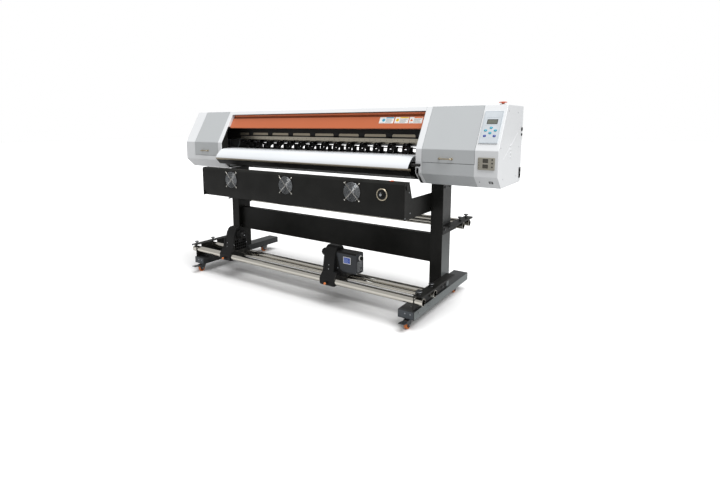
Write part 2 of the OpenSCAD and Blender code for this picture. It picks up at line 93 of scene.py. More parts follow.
# Middle of each leg, outer face of a leg, outer face of a foot
LEG_X = 898
LEG_OUT = 937
FOOT_OUT = 948
# Depth of the front and the rear casters
CASTER_Y = (-190, 496)
# Depth, height and radius of the take-up tubes, the feed tubes and the thin rail
TAKE_UP_TUBES = ((-195, 168, 22), (-38, 168, 22))
FEED_TUBES = ((385, 490, 21), (495, 490, 21))
THIN_RAIL = (-86, 165, 13)
# Depth and height of the turning axes in the bridge
FEED_AXIS = (190, 937)
PINCH_AXIS = (232, 1002)
LEVER_AXIS = (54, 884)
HOOD_AXIS = (153, 1214)
# Middle of the stop button seen from above, and of the dial seen from the front
STOP_AT = (1254, 200)
DIAL_AT = (717, 744)


def upright(y):
    """A frame on an upright face: local X along the machine, Y up, Z towards the front."""
    return Matrix.Translation((0, y, 0)) @ Matrix.Rotation(math.pi / 2, 4, "X")


def circle(x, y, radius, count):
    """Evenly spaced points of a circle."""
    turns = [2 * math.pi * k / count for k in range(count)]
    return [(x + radius * math.cos(a), y + radius * math.sin(a)) for a in turns]


# ---------------------------------------------------------------- camera, light, floor


def add_camera():
    data = bpy.data.cameras.new("camera")
    camera = bpy.data.objects.new("camera", data)
    scene.collection.objects.link(camera)
    camera.location = (1.9993, -2.5722, 1.142)
    camera.rotation_euler = (math.radians(81.9), math.radians(0.2), math.radians(35.3))
    data.sensor_width = 36
    data.lens = 22.825
    data.shift_x = 0.0276
    data.shift_y = -0.0713
    data.clip_end = 100
    scene.camera = camera


def add_sun(name, towards, strength, softness):
    """A far light that arrives from a direction, spread over a wide angle."""
    data = bpy.data.lights.new(name, "SUN")
    data.energy = strength
    data.angle = math.radians(softness)
    lamp = bpy.data.objects.new(name, data)
    scene.collection.objects.link(lamp)
    lamp.rotation_euler = Vector(towards).to_track_quat("Z", "Y").to_euler()


def floor_paper():
    """Pale studio paper that looks brighter to the camera than it lights the machine from below."""
    material = plain("floor_pale", (0.90, 0.90, 0.90), 0.7)
    tree = material.node_tree
    dim = tree.nodes.new("ShaderNodeBsdfDiffuse")
    dim.inputs["Color"].default_value = (0.42, 0.42, 0.42, 1)
    mix = tree.nodes.new("ShaderNodeMixShader")
    tree.links.new(tree.nodes.new("ShaderNodeLightPath").outputs["Is Camera Ray"], mix.inputs[0])
    tree.links.new(dim.outputs[0], mix.inputs[1])
    tree.links.new(tree.nodes["Principled BSDF"].outputs[0], mix.inputs[2])
    tree.links.new(mix.outputs[0], tree.nodes["Material Output"].inputs["Surface"])
    return material


def add_studio():
    mesh = bpy.data.meshes.new("floor")
    mesh.from_pydata([(-30, -30, 0), (30, -30, 0), (30, 30, 0), (-30, 30, 0)], [], [(0, 1, 2, 3)])
    floor = bpy.data.objects.new("floor", mesh)
    scene.collection.objects.link(floor)
    mesh.materials.append(floor_paper())
    world = bpy.data.worlds.new("studio")
    world.use_nodes = True
    tree = world.node_tree
    soft = tree.nodes["Background"]
    soft.inputs["Color"].default_value = (1, 1, 1, 1)
    soft.inputs["Strength"].default_value = 0.40
    backdrop = tree.nodes.new("ShaderNodeBackground")
    backdrop.inputs["Color"].default_value = (1, 1, 1, 1)
    backdrop.inputs["Strength"].default_value = 1.0
    mix = tree.nodes.new("ShaderNodeMixShader")
    tree.links.new(tree.nodes.new("ShaderNodeLightPath").outputs["Is Camera Ray"], mix.inputs[0])
    tree.links.new(soft.outputs[0], mix.inputs[1])
    tree.links.new(backdrop.outputs[0], mix.inputs[2])
    tree.links.new(mix.outputs[0], tree.nodes["World Output"].inputs["Surface"])
    scene.world = world
    scene.view_settings.view_transform = "Standard"
    add_sun("key", (0.33, 0.0, 0.94), 4.4, 60)


# ---------------------------------------------------------------- materials

class Shader:
    """A principled material with helpers for the procedural textures that every surface here uses."""

    def __init__(self, name, color, rough, metal=0.0, coat=0.0, specular=0.5):
        self.material = bpy.data.materials.new(name)
        self.material.use_nodes = True
        self.tree = self.material.node_tree
        self.bsdf = self.tree.nodes["Principled BSDF"]
        self.color = (*color, 1)
        self.rough = rough
        self.bsdf.inputs["Base Color"].default_value = self.color
        self.bsdf.inputs["Roughness"].default_value = rough
        self.bsdf.inputs["Metallic"].default_value = metal
        self.bsdf.inputs["Coat Weight"].default_value = coat
        self.bsdf.inputs["Specular IOR Level"].default_value = specular
        self.coords = self.tree.nodes.new("ShaderNodeTexCoord").outputs["Object"]
        self.height = None
        self.material.diffuse_color = self.color

    def link(self, a, b):
        self.tree.links.new(a, b)

    def noise(self, scale, stretch=(1, 1, 1), detail=2.0):
        mapping = self.tree.nodes.new("ShaderNodeMapping")
        mapping.inputs["Scale"].default_value = stretch
        self.link(self.coords, mapping.inputs["Vector"])
        noise = self.tree.nodes.new("ShaderNodeTexNoise")
        noise.inputs["Scale"].default_value = scale
        noise.inputs["Detail"].default_value = detail
        self.link(mapping.outputs["Vector"], noise.inputs["Vector"])
        return noise.outputs["Fac"]

    def vary_color(self, factor, other, low=0.35, high=0.75):
        ramp = self.tree.nodes.new("ShaderNodeValToRGB")
        ramp.color_ramp.elements[0].position = low
        ramp.color_ramp.elements[1].position = high
        ramp.color_ramp.elements[0].color = self.color
        ramp.color_ramp.elements[1].color = (*other, 1)
        self.link(factor, ramp.inputs["Fac"])
        self.link(ramp.outputs["Color"], self.bsdf.inputs["Base Color"])
        return self

    def vary_rough(self, factor, low, high):
        span_node = self.tree.nodes.new("ShaderNodeMapRange")
        span_node.inputs["To Min"].default_value = low
        span_node.inputs["To Max"].default_value = high
        self.link(factor, span_node.inputs["Value"])
        self.link(span_node.outputs["Result"], self.bsdf.inputs["Roughness"])
        return self

    def bump(self, factor, strength, distance):
        bump = self.tree.nodes.new("ShaderNodeBump")
        bump.inputs["Strength"].default_value = strength
        bump.inputs["Distance"].default_value = distance
        self.link(factor, bump.inputs["Height"])
        if self.height is not None:
            self.link(self.height, bump.inputs["Normal"])
        self.height = bump.outputs["Normal"]
        self.link(self.height, self.bsdf.inputs["Normal"])
        return self


made = {}


def once(maker):
    """Makes each material one time and hands the same one back afterwards."""
    def get(name, *args, **kwargs):
        if name not in made:
            made[name] = maker(name, *args, **kwargs)
        return made[name]
    return get


@once
def plain(name, color, rough, metal=0.0):
    s = Shader(name, color, rough, metal)
    s.vary_rough(s.noise(40), rough * 0.9, min(1.0, rough * 1.1))
    return s.material


@once
def paint(name, color, rough=0.32):
    """Sprayed enamel on sheet metal: a fine orange peel under a thin gloss."""
    s = Shader(name, color, rough, coat=0.25)
    s.bsdf.inputs["Coat Roughness"].default_value = 0.12
    s.vary_color(s.noise(3.0), [c * 0.955 for c in color], 0.3, 0.8)
    s.vary_rough(s.noise(60), rough * 0.85, rough * 1.2)
    s.bump(s.noise(700, detail=1.0), 0.12, 0.0002)
    return s.material


@once
def powder(name, color, rough=0.5, specular=0.3):
    """Textured powder coat with a little dust in its grain."""
    s = Shader(name, color, rough, specular=specular)
    s.vary_color(s.noise(9, detail=5), [c * 1.45 + 0.004 for c in color], 0.35, 0.8)
    s.vary_rough(s.noise(22, detail=4), rough * 0.8, rough * 1.15)
    s.bump(s.noise(1500, detail=1.5), 0.35, 0.0003)
    return s.material


@once
def moulded(name, color, rough=0.45, grain=1100, specular=0.4):
    """Injection-moulded plastic with a spark-eroded grain."""
    s = Shader(name, color, rough, specular=specular)
    s.vary_color(s.noise(14), [c * 1.12 + 0.002 for c in color], 0.3, 0.8)
    s.vary_rough(s.noise(45), rough * 0.85, rough * 1.15)
    s.bump(s.noise(grain, detail=1.0), 0.2, 0.0002)
    return s.material


@once
def steel(name, color, rough=0.14, along=(0.4, 60, 60)):
    """Drawn or ground metal with fine lines along one direction."""
    s = Shader(name, color, rough, metal=1.0)
    lines = s.noise(18, along, detail=3)
    s.vary_color(lines, [c * 0.82 for c in color], 0.35, 0.75)
    s.vary_rough(lines, rough * 0.7, rough * 1.5)
    s.bump(s.noise(40, along, detail=2), 0.06, 0.0001)
    return s.material


@once
def painted_floor_sheen(name, floor_sheen_color, high_color):
    """Black powder coat with a painted sheen: lighter near the floor and darker higher up, standing in for the bright
    floor reflected at a grazing angle.
    """
    s = Shader(name, floor_sheen_color, 0.4, specular=0.5)
    split = s.tree.nodes.new("ShaderNodeSeparateXYZ")
    s.link(s.coords, split.inputs["Vector"])
    # Painted sheen: the colour ramps with height from the light sheen colour at the floor to plain black higher up.
    s.vary_color(split.outputs["Z"], high_color, 0.05, 0.66)
    s.vary_rough(s.noise(22, detail=4), 0.34, 0.46)
    s.bump(s.noise(1500, detail=1.5), 0.3, 0.0003)
    return s.material


@once
def tread(name, color):
    """Moulded polyurethane, slightly cloudy and scuffed."""
    s = Shader(name, color, 0.42)
    s.bsdf.inputs["Subsurface Weight"].default_value = 0.12
    s.bsdf.inputs["Subsurface Radius"].default_value = (0.004, 0.002, 0.001)
    s.vary_color(s.noise(60, detail=4), [c * 0.72 for c in color], 0.4, 0.8)
    s.vary_rough(s.noise(120), 0.3, 0.6)
    s.bump(s.noise(400), 0.15, 0.0002)
    return s.material


WHITE = paint("white_enamel", (0.80, 0.815, 0.83))
GREY = paint("grey_enamel", (0.51, 0.53, 0.54))
ORANGE = paint("orange_enamel", (0.56, 0.145, 0.055), 0.36)
# Darker orange for the floor of the hood's groove: painted shade in the recess.
PAINTED_GROOVE_SHADE = paint("orange_painted_groove_shade", (0.27, 0.055, 0.004), 0.45)
BLACK = powder("black_powder", (0.0075, 0.0075, 0.0065), 0.45, 0.22)
FLOOR_BEAM = powder("black_powder_worn", (0.018, 0.020, 0.021), 0.36, 0.5)
PLASTIC = moulded("black_moulding", (0.008, 0.008, 0.008), 0.4, 1100, 0.25)
DARK = moulded("dark_moulding", (0.028, 0.031, 0.034), 0.42)
# Bright steel for tubes and guard arms; its warm tint is a painted tan reflection of the surroundings.
CHROME = steel("bright_steel", (0.97, 0.93, 0.84), 0.10)
# Door handle chrome darkened to tan: painted reflection of tan surroundings in place of the chrome's own bright colour.
HANDLE_PAINTED_REFLECTION = steel("handle_chrome_painted_reflection", (0.50, 0.43, 0.31), 0.3, (1, 1, 1))
ALLOY = steel("anodised_alloy", (0.54, 0.50, 0.41), 0.34)
WINDOW = steel("window_alloy", (0.44, 0.39, 0.30), 0.40)
ZINC = steel("zinc_plate", (0.50, 0.52, 0.54), 0.32, (6, 6, 6))
DARK_ZINC = steel("dark_zinc", (0.16, 0.165, 0.17), 0.38, (6, 6, 6))
TREAD = tread("orange_tread", (0.92, 0.27, 0.07))
RUBBER = moulded("black_rubber", (0.014, 0.014, 0.014), 0.62, 500)
GUIDE = paint("guide_white", (0.74, 0.765, 0.79), 0.38)
RAIL = steel("rail_steel", (0.045, 0.045, 0.045), 0.35)
LABEL_WHITE = moulded("label_white", (0.80, 0.80, 0.78), 0.4, 300)


# ---------------------------------------------------------------- shape tools


def rounded(bm, edges, radius, segments=2):
    if edges and radius > 0:
        bmesh.ops.bevel(bm, geom=edges, offset=radius, segments=segments, profile=0.5, affect="EDGES",
                        clamp_overlap=True)


def sharp_edges(bm, degrees=28):
    limit = math.radians(degrees)
    return [e for e in bm.edges if len(e.link_faces) == 2 and e.is_convex and e.calc_face_angle(0) > limit]


def axes_to(start, end):
    """A frame at start whose Z points to end."""
    direction = Vector(end) - Vector(start)
    return Matrix.Translation(start) @ direction.to_track_quat("Z", "Y").to_matrix().to_4x4()


class Shape:
    """Solids drawn in machine millimetres and gathered into one mesh."""

    def __init__(self):
        self.bm = bmesh.new()

    def add(self, bm, matrix=None):
        mesh = bpy.data.meshes.new("part")
        bm.to_mesh(mesh)
        bm.free()
        if matrix is not None:
            mesh.transform(matrix)
        self.bm.from_mesh(mesh)
        bpy.data.meshes.remove(mesh)
        return self

    def box(self, low, high, radius=0.0, segments=2, matrix=None):
        bm = bmesh.new()
        bmesh.ops.create_cube(bm, size=1)
        size = Vector(high) - Vector(low)
        middle = (Vector(high) + Vector(low)) / 2
        bm.transform(Matrix.Translation(middle) @ Matrix.Diagonal((*size, 1)))
        rounded(bm, bm.edges[:], radius, segments)
        return self.add(bm, matrix)

    def lathe(self, profile, matrix, steps=40):
        """Turns (radius, height) points about the local Z axis. A radius of 0 closes an end."""
        bm = bmesh.new()
        rings = []
        for radius, height in profile:
            if radius < 1e-6:
                rings.append([bm.verts.new((0, 0, height))])
                continue
            rings.append([bm.verts.new((radius * math.cos(a), radius * math.sin(a), height))
                          for a in (2 * math.pi * k / steps for k in range(steps))])
        for a, b in zip(rings, rings[1:]):
            for k in range(steps):
                n = (k + 1) % steps
                corners = [a[k % len(a)], a[n % len(a)], b[n % len(b)], b[k % len(b)]]
                corners = list(dict.fromkeys(corners))
                if len(corners) > 2:
                    bm.faces.new(corners)
        bmesh.ops.recalc_face_normals(bm, faces=bm.faces[:])
        return self.add(bm, matrix)

    def rod(self, start, end, radius, chamfer=0.0, steps=32):
        length = (Vector(end) - Vector(start)).length
        c = chamfer
        profile = [(0, 0), (radius - c, 0), (radius, c), (radius, length - c), (radius - c, length), (0, length)]
        if c <= 0:
            profile = [(0, 0), (radius, 0), (radius, length), (0, length)]
        return self.lathe(profile, axes_to(start, end), steps)

    def ring(self, matrix, inner, outer, low, high, chamfer=0.4, steps=48):
        c = chamfer
        profile = [(inner, low), (outer - c, low), (outer, low + c), (outer, high - c), (outer - c, high),
                   (inner + c, high), (inner, high - c), (inner, low)]
        return self.lathe(profile, matrix, steps)

    def prism(self, outline, depth, matrix, radius=0.0, segments=2):
        """Extrudes a flat outline along local Z."""
        bm = bmesh.new()
        face = bm.faces.new([bm.verts.new((x, y, 0)) for x, y in outline])
        grown = bmesh.ops.extrude_face_region(bm, geom=[face])
        moved = [v for v in grown["geom"] if isinstance(v, bmesh.types.BMVert)]
        bmesh.ops.translate(bm, vec=(0, 0, depth), verts=moved)
        bmesh.ops.recalc_face_normals(bm, faces=bm.faces[:])
        rounded(bm, sharp_edges(bm), radius, segments)
        return self.add(bm, matrix)

    def along(self, x0, x1, outline, radius=0.0, segments=2):
        """Extrudes a depth-height outline along the machine."""
        matrix = Matrix.Translation((x0, 0, 0)) @ ALONG
        return self.prism(outline, x1 - x0, matrix, radius, segments)

    def sweep(self, points, radius, steps=12, closed=False):
        """A round bar on a path, with flat ends."""
        points = [Vector(p) for p in points]
        bm = bmesh.new()
        rings = []
        count = len(points)
        side = None
        for k, point in enumerate(points):
            before = points[k - 1] if k or closed else point
            after = points[(k + 1) % count] if k + 1 < count or closed else point
            forward = (after - before).normalized()
            if side is None:
                side = forward.orthogonal()
            side = (side - forward * side.dot(forward)).normalized()
            up = forward.cross(side)
            rings.append([bm.verts.new(point + radius * (side * math.cos(a) + up * math.sin(a)))
                          for a in (2 * math.pi * j / steps for j in range(steps))])
        pairs = list(zip(rings, rings[1:]))
        if closed:
            pairs.append((rings[-1], rings[0]))
        for a, b in pairs:
            for j in range(steps):
                n = (j + 1) % steps
                bm.faces.new((a[j], a[n], b[n], b[j]))
        if not closed:
            bm.faces.new(rings[0])
            bm.faces.new(rings[-1])
        bmesh.ops.recalc_face_normals(bm, faces=bm.faces[:])
        return self.add(bm)

    def hexagon(self, start, end, radius, chamfer=1.0):
        """A hexagon head between two points."""
        length = (Vector(end) - Vector(start)).length
        outline = [(radius * math.cos(a), radius * math.sin(a)) for a in (math.pi * k / 3 for k in range(6))]
        return self.prism(outline, length, axes_to(start, end), chamfer)

    def cap_screw(self, start, end, radius):
        """A cylinder head with a round socket."""
        length = (Vector(end) - Vector(start)).length
        place = axes_to(start, end)
        self.lathe([(0, 0), (radius, 0), (radius, length - 0.6), (radius - 0.6, length), (radius * 0.5, length),
                    (radius * 0.48, length - radius * 0.5), (0, length - radius * 0.5)], place, 24)
        return self

    def pan_screw(self, place, radius=3.6, height=1.0):
        """A low domed head, standing on the local XY plane."""
        self.lathe([(0, -0.2), (radius, -0.2), (radius, height * 0.35), (radius * 0.75, height * 0.85),
                    (0, height)], place, 20)
        return self

    def into_mesh(self, name):
        mesh = bpy.data.meshes.new(name)
        self.bm.to_mesh(mesh)
        self.bm.free()
        return mesh

    def piece(self, name, material, body="machine", slot=None, replaces=None):
        """Makes the object that stands in the scene: it rides on a body and may replace a CAD node."""
        self.bm.transform(TO_ROW)
        bmesh.ops.remove_doubles(self.bm, verts=self.bm.verts[:], dist=1e-6)
        mesh = self.into_mesh(name)
        mesh.shade_smooth()
        mesh.set_sharp_from_angle(angle=math.radians(30))
        mesh.materials.clear()
        mesh.materials.append(material)
        obj = bpy.data.objects.new(name, mesh)
        scene.collection.objects.link(obj)
        weighted = obj.modifiers.new("even_normals", "WEIGHTED_NORMAL")
        weighted.keep_sharp = True
        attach(obj, body)
        if replaces:
            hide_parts(replaces)


SLOT_OF = {s["node"]: s["material_slot"] for s in frame["record"]["subparts"]}
BODY_OF = {n: b for b, members in frame["record"]["behaviour"]["bodies"].items() for n in members}


def refine(node, material, large=0.0, large_length=1e9, small=0.5, pick=None):
    """A finer copy of a CAD node: long outer edges get a large radius and the rest a small one."""
    bm = bmesh.new()
    bm.from_mesh(nodes[node].data)
    bm.transform(Matrix.Diagonal((1 / MM, 1 / MM, 1 / MM, 1)))
    bm.transform(Matrix.Translation((0, DEPTH_MIDDLE, 0)))
    bmesh.ops.remove_doubles(bm, verts=bm.verts[:], dist=0.01)
    bmesh.ops.dissolve_limit(bm, angle_limit=math.radians(0.6), verts=bm.verts[:], edges=bm.edges[:])
    if large > 0:
        edges = [e for e in sharp_edges(bm) if e.calc_length() > large_length and (pick is None or pick(e))]
        rounded(bm, edges, large, 3)
    if small > 0:
        rounded(bm, sharp_edges(bm, 35), small, 2)
    Shape().add(bm).piece(node + "_finish", material, BODY_OF[node], SLOT_OF[node], node)


def carve(body, cutters):
    """The solid of one Shape with the solids of another cut out of it."""
    return combine(body, cutters, "DIFFERENCE")


def combine(first, second, operation):
    """Two Shapes joined by an exact boolean operation."""
    objects = []
    for shape in (first, second):
        obj = bpy.data.objects.new("carving", shape.into_mesh("carving"))
        scene.collection.objects.link(obj)
        objects.append(obj)
    body, tool = objects
    cut = body.modifiers.new("cut", "BOOLEAN")
    cut.operation = operation
    cut.solver = "EXACT"
    cut.object = tool
    cut.use_self = True
    bpy.context.view_layer.update()
    result = bpy.data.meshes.new_from_object(body.evaluated_get(bpy.context.evaluated_depsgraph_get()))
    shape = Shape()
    shape.bm.from_mesh(result)
    for obj in objects:
        bpy.data.objects.remove(obj)
    return shape


def rounded_rect(x0, y0, x1, y1, radius, steps=6):
    """Outline of a rectangle with round corners, anticlockwise."""
    corners = [(x1 - radius, y0 + radius, -90), (x1 - radius, y1 - radius, 0),
               (x0 + radius, y1 - radius, 90), (x0 + radius, y0 + radius, 180)]
    return [(cx + radius * math.cos(math.radians(a + 90 * k / steps)),
             cy + radius * math.sin(math.radians(a + 90 * k / steps)))
            for cx, cy, a in corners for k in range(steps + 1)]


def spline(points, steps=6):
    """A smooth path through the points."""
    points = [Vector(p) for p in points]
    path = []
    for k in range(len(points) - 1):
        a = points[max(k - 1, 0)]
        b, c = points[k], points[k + 1]
        d = points[min(k + 2, len(points) - 1)]
        for j in range(steps):
            t = j / steps
            path.append(0.5 * (2 * b + (c - a) * t + (2 * a - 5 * b + 4 * c - d) * t * t
                               + (3 * b - a - 3 * c + d) * t * t * t))
    path.append(points[-1])
    return path


def facing(x, y, z, direction):
    """A frame at a point whose local Z looks along a direction, for screws and labels."""
    return axes_to((x, y, z), Vector((x, y, z)) + Vector(direction))


# ---------------------------------------------------------------- end housings


PROFILE = [(0, FOLD_Z), (0, CHAMFER_Z), (CHAMFER_Y, BOTTOM), (BACK, BOTTOM), (BACK, TOP), (TOP_Y, TOP)]


SHEET = 3
# Opening in the inner walls for the bridge and the carriage
PASSAGE = [(68, 944), (176, 944), (200, 1015), (290, 1015), (290, 1182), (152, 1182), (98, 1108), (68, 1096)]
# Depth, height and radius of the holes for feed roller, pinch shaft, lever and hood pins
SHAFT_HOLES = [(*FEED_AXIS, 6.2), (*PINCH_AXIS, 6.2), (*LEVER_AXIS, 5.2), (*HOOD_AXIS, 2.2)]


def on_front(s, dy=0, dz=0):
    """Depth and height of a point on the slanted front, s up from the fold."""
    return s * math.cos(SLOPE) + dy, FOLD_Z + s * math.sin(SLOPE) + dz


def housing_shell(x0, x1, inner_x, side_x, door_node):
    """A folded sheet box with rounded outer edges and all its openings."""
    shell = Shape().along(x0, x1, PROFILE, 3.2, 3)
    cuts = Shape().along(x0 + SHEET, x1 - SHEET, shrunk(PROFILE, SHEET))
    cuts.along(inner_x - 6, inner_x + 6, PASSAGE)
    for y, z, r in SHAFT_HOLES:
        cuts.rod((inner_x - 6, y, z), (inner_x + 6, y, z), r, 0, 20)
    low, high = span(door_node)
    seam = low.z - 1.5
    cuts.along(low.x - 1.5, high.x + 1.5, [(-5, seam), (20, seam), (20, FOLD_Z - 20), on_front(281, 24, -24),
                                           on_front(281.5), on_front(281.5, -20, 12), (-5, FOLD_Z)])
    if side_x > 0:
        cuts.along(low.x, high.x, [(-5, seam + 1), (-5, BOTTOM - 5), (CHAMFER_Y + 6, BOTTOM - 5),
                                   (CHAMFER_Y + 6, BOTTOM + SHEET + 5), (20, CHAMFER_Z + 10), (20, seam + 1)])
        for z in (853, 824):
            cuts.box((side_x - 5, 424, z), (side_x + 2, 452, z + 20))
        cuts.rod((*STOP_AT, TOP - 6), (*STOP_AT, TOP + 2), 8.3, 0, 24)
    leg = math.copysign(LEG_X, side_x)
    cuts.rod((leg, 225, BOTTOM - 2), (leg, 225, BOTTOM + 5), 20, 0, 32)
    return carve(shell, cuts)


def side_louvres(shape, x, out):
    """Pressed louvre hoods over the four slots of a side wall."""
    for k in range(4):
        middle = (x, 218 + 4.5 * k, 952.2 + 22 * (3 - k))
        place = Matrix.Translation(middle) @ Matrix.Rotation(out * math.pi / 2, 4, "Y")
        place = place @ Matrix.Diagonal((4.6, 12.5, 3.0, 1))
        dome = [(math.cos(a), math.sin(a)) for a in (math.pi / 2 * j / 8 for j in range(8))] + [(0, 1)]
        shape.lathe([(1, -1.5)] + dome, place, 32)


def build_housings():
    shell = housing_shell(LEFT_END, INNER_LEFT, INNER_LEFT, LEFT_END, "left_door")
    shell.piece("left_housing_shell", WHITE, replaces="left_housing")
    shell = housing_shell(INNER_RIGHT, RIGHT_END, INNER_RIGHT, RIGHT_END, "right_door")
    shell.piece("right_housing_shell", WHITE, replaces="right_housing")
    trim = Shape()
    screws = Shape()
    for x, out in ((RIGHT_END, 1), (LEFT_END, -1)):
        side_louvres(trim, x, out)
        # Pressed stiffening line across the side wall
        trim.sweep([(x - out * 0.7, 360, 1088), (x - out * 0.5, 230, 1020), (x - out * 0.7, 85, 945)], 1.3, 10)
        for y, z in ((35, 1011), (95, 840), (394, 1004), (358, 836), (161, 1207), (346, 1201)):
            screws.pan_screw(facing(x - out * 0.1, y, z, (out, 0, 0)))
    trim.piece("side_louvres", WHITE)
    # Black linings on the walls that face the bay
    bay = [(6, 870), (76, 796), (460, 796), (460, 1130), (240, 1130), on_front(146, 4, -2), (6, 992)]
    for name, x in (("left", INNER_LEFT), ("right", INNER_RIGHT - 0.8)):
        holes = Shape().along(x - 5, x + 5, PASSAGE)
        for y, z, r in SHAFT_HOLES[:3]:
            holes.rod((x - 5, y, z), (x + 5, y, z), r, 0, 20)
        lining = carve(Shape().along(x, x + 0.8, bay), holes)
        lining.piece(name + "_bay_lining", BLACK)
    # Rear service covers with their screws
    covers = Shape()
    for x0, x1 in ((LEFT_END + 40, INNER_LEFT - 40), (INNER_RIGHT + 40, RIGHT_END - 40)):
        plate = Shape().prism(rounded_rect(x0, BOTTOM + 40, x1, TOP - 40, 8),
                              1.0, upright(BACK) @ Matrix.Translation((0, 0, -1.0)), 0.3)
        slots = Shape()
        middle = (x0 + x1) / 2
        for row in range(9):
            z = BOTTOM + 90 + 14 * row
            slots.prism(rounded_rect(middle - 80, z, middle + 80, z + 5, 2.4), 4, upright(BACK + 2))
        covers.bm.from_mesh(carve(plate, slots).into_mesh("cover"))
        for x in (x0 + 12, middle, x1 - 12):
            for z in (BOTTOM + 52, TOP - 52):
                screws.pan_screw(facing(x, BACK + 0.9, z, (0, 1, 0)))
    covers.piece("rear_service_covers", WHITE)
    screws.piece("housing_screws", ZINC)


def build_ports():
    """Data port in the lower front, cable glands and mains inlets at the rear edge of the right side."""
    chamfer = math.atan2(CHAMFER_Z - BOTTOM, CHAMFER_Y)
    place = Matrix.Translation((1257, 33, CHAMFER_Z - 33 * math.tan(chamfer))) \
        @ Matrix.Rotation(math.pi / 2 + (math.pi / 2 - chamfer), 4, "X")
    frame_piece = carve(Shape().box((-11, -10, -1), (11, 10, 1.6), 0.8, matrix=place),
                        Shape().box((-7, -6, -0.5), (7, 6, 3), 0, matrix=place))
    frame_piece.piece("data_port", PLASTIC)
    pins = Shape()
    for k in range(8):
        pins.box((-4.6 + 1.2 * k, 1.0, -0.4), (-4.2 + 1.2 * k, 5.6, 0.2), 0, matrix=place)
    pins.pan_screw(Matrix.Translation((-62, 0, 0)) @ place, 3.2, 0.9)
    pins.piece("data_port_contacts", DARK_ZINC)
    refine("power_inlets", PLASTIC, small=0.8)
    glands = Shape()
    for z, r in ((1107, 12), (1075, 8)):
        hub = facing(RIGHT_END - 1, 441, z, (1, 0, 0))
        glands.lathe([(0, 0), (r, 0), (r, 3.6), (r - 1, 5), (r * 0.55, 5), (r * 0.5, 3.2), (0, 3.2)], hub, 32)
    bezel = Shape().along(RIGHT_END - 0.2, RIGHT_END + 2.4, rounded_rect(419, 817, 457, 880, 3), 0.6)
    wells = Shape()
    for z in (863, 834):
        wells.box((RIGHT_END - 5, 427, z - 8), (RIGHT_END + 5, 449, z + 8))
    glands.bm.from_mesh(carve(bezel, wells).into_mesh("bezel"))
    glands.piece("cable_glands", PLASTIC)


def bow_handle(shape, x, y, z, width, drop=18):
    """A bent round handle with collars at both feet."""
    half = width / 2
    path = [(x - half, y, z)]
    path += [(x - half + 6 * (1 - math.cos(a)), y - drop + 6 - 6 * math.sin(a), z)
             for a in (math.pi / 2 * k / 6 for k in range(7))]
    path += [(2 * x - p[0], p[1], p[2]) for p in path[::-1]]
    shape.sweep(path, 4, 20)
    for s in (-1, 1):
        shape.ring(facing(x + s * half, y, z, (0, -1, 0)), 3.5, 7, 0, 2.5, 0.6)


def build_doors():
    for node, x, z in (("left_door", -1058, 929), ("right_door", 1010, 946)):
        low, high = span(node)
        fold = [(0, FOLD_Z - 3), (0.3, FOLD_Z), (1.6, FOLD_Z + 3.2)]
        top = (280 * math.cos(SLOPE), FOLD_Z + 280 * math.sin(SLOPE))
        skin = [(0, low.z + 1.2), (1.2, low.z), (16, low.z), (16, low.z + 3), (3.4, low.z + 3), (3.1, FOLD_Z - 4),
                (3.2, FOLD_Z - 1), (4.4, FOLD_Z + 1.8),
                (top[0] + 3 * math.sin(SLOPE), top[1] - 3 * math.cos(SLOPE)), top] + fold[::-1]
        door = Shape().along(low.x, high.x, skin, 0.5)
        door.piece(node + "_skin", GREY, BODY_OF[node], "grey_paint", node)
        handle = Shape()
        bow_handle(handle, x, 0, z, 72)
        handle.piece(node + "_handle", HANDLE_PAINTED_REFLECTION, BODY_OF[node], "bright_steel")
    refine("right_lower_cover", GREY, small=0.5)
    slot = Shape().along(INNER_RIGHT + 7, INNER_RIGHT + 22,
                         band([(0, 886), (0, CHAMFER_Z), (CHAMFER_Y, BOTTOM), (CHAMFER_Y + 6, BOTTOM)], -0.5))
    slot.piece("lever_slot", PLASTIC)
    hinge = Shape()
    for low, high in (span("left_door"), span("right_door")):
        for x in (low.x + 50, high.x - 50):
            hinge.rod((x - 22, 148, 1231.5), (x + 22, 148, 1231.5), 4, 0.5)
    hinge.piece("door_hinge_barrels", ZINC)


def build_top():
    low, high = span("top_cover")
    refine("top_cover", WHITE, large=3.5, large_length=500, small=0.4,
           pick=lambda e: min(math.dist((v.co.y, v.co.z), c) for v in e.verts for c in PROFILE[4:]) < 0.4)
    trim = Shape()
    # Rolled seam strips and rear skirt screws
    for x in (low.x + 0.5, high.x - 0.5):
        trim.box((x - 0.4, TOP_Y + 4, TOP - 0.3), (x + 0.4, BACK - 4, TOP + 0.02))
        trim.box((x - 0.4, BACK - 0.3, BOTTOM + 230), (x + 0.4, BACK + 0.02, TOP - 4))
    trim.piece("cover_seams", DARK, slot="black_powder_coat")
    screws = Shape()
    for k in range(9):
        x = low.x + 60 + (high.x - low.x - 120) * k / 8
        screws.pan_screw(facing(x, BACK - 0.1, TOP - 30, (0, 1, 0)))
        screws.pan_screw(facing(x, BACK - 0.1, low.z + 30, (0, 1, 0)))
    screws.piece("rear_skirt_screws", ZINC)


# ---------------------------------------------------------------- controls


KEY_PLACES = [(1236, 137), (1209, 120.5), (1261, 120.5), (1235, 105.5), (1209.5, 87.5), (1261, 87.5)]
PANEL_X0, PANEL_X1 = span("control_panel")[0].x, span("control_panel")[1].x
PANEL_S0, PANEL_S1, PANEL_T = 43, 241.5, 5


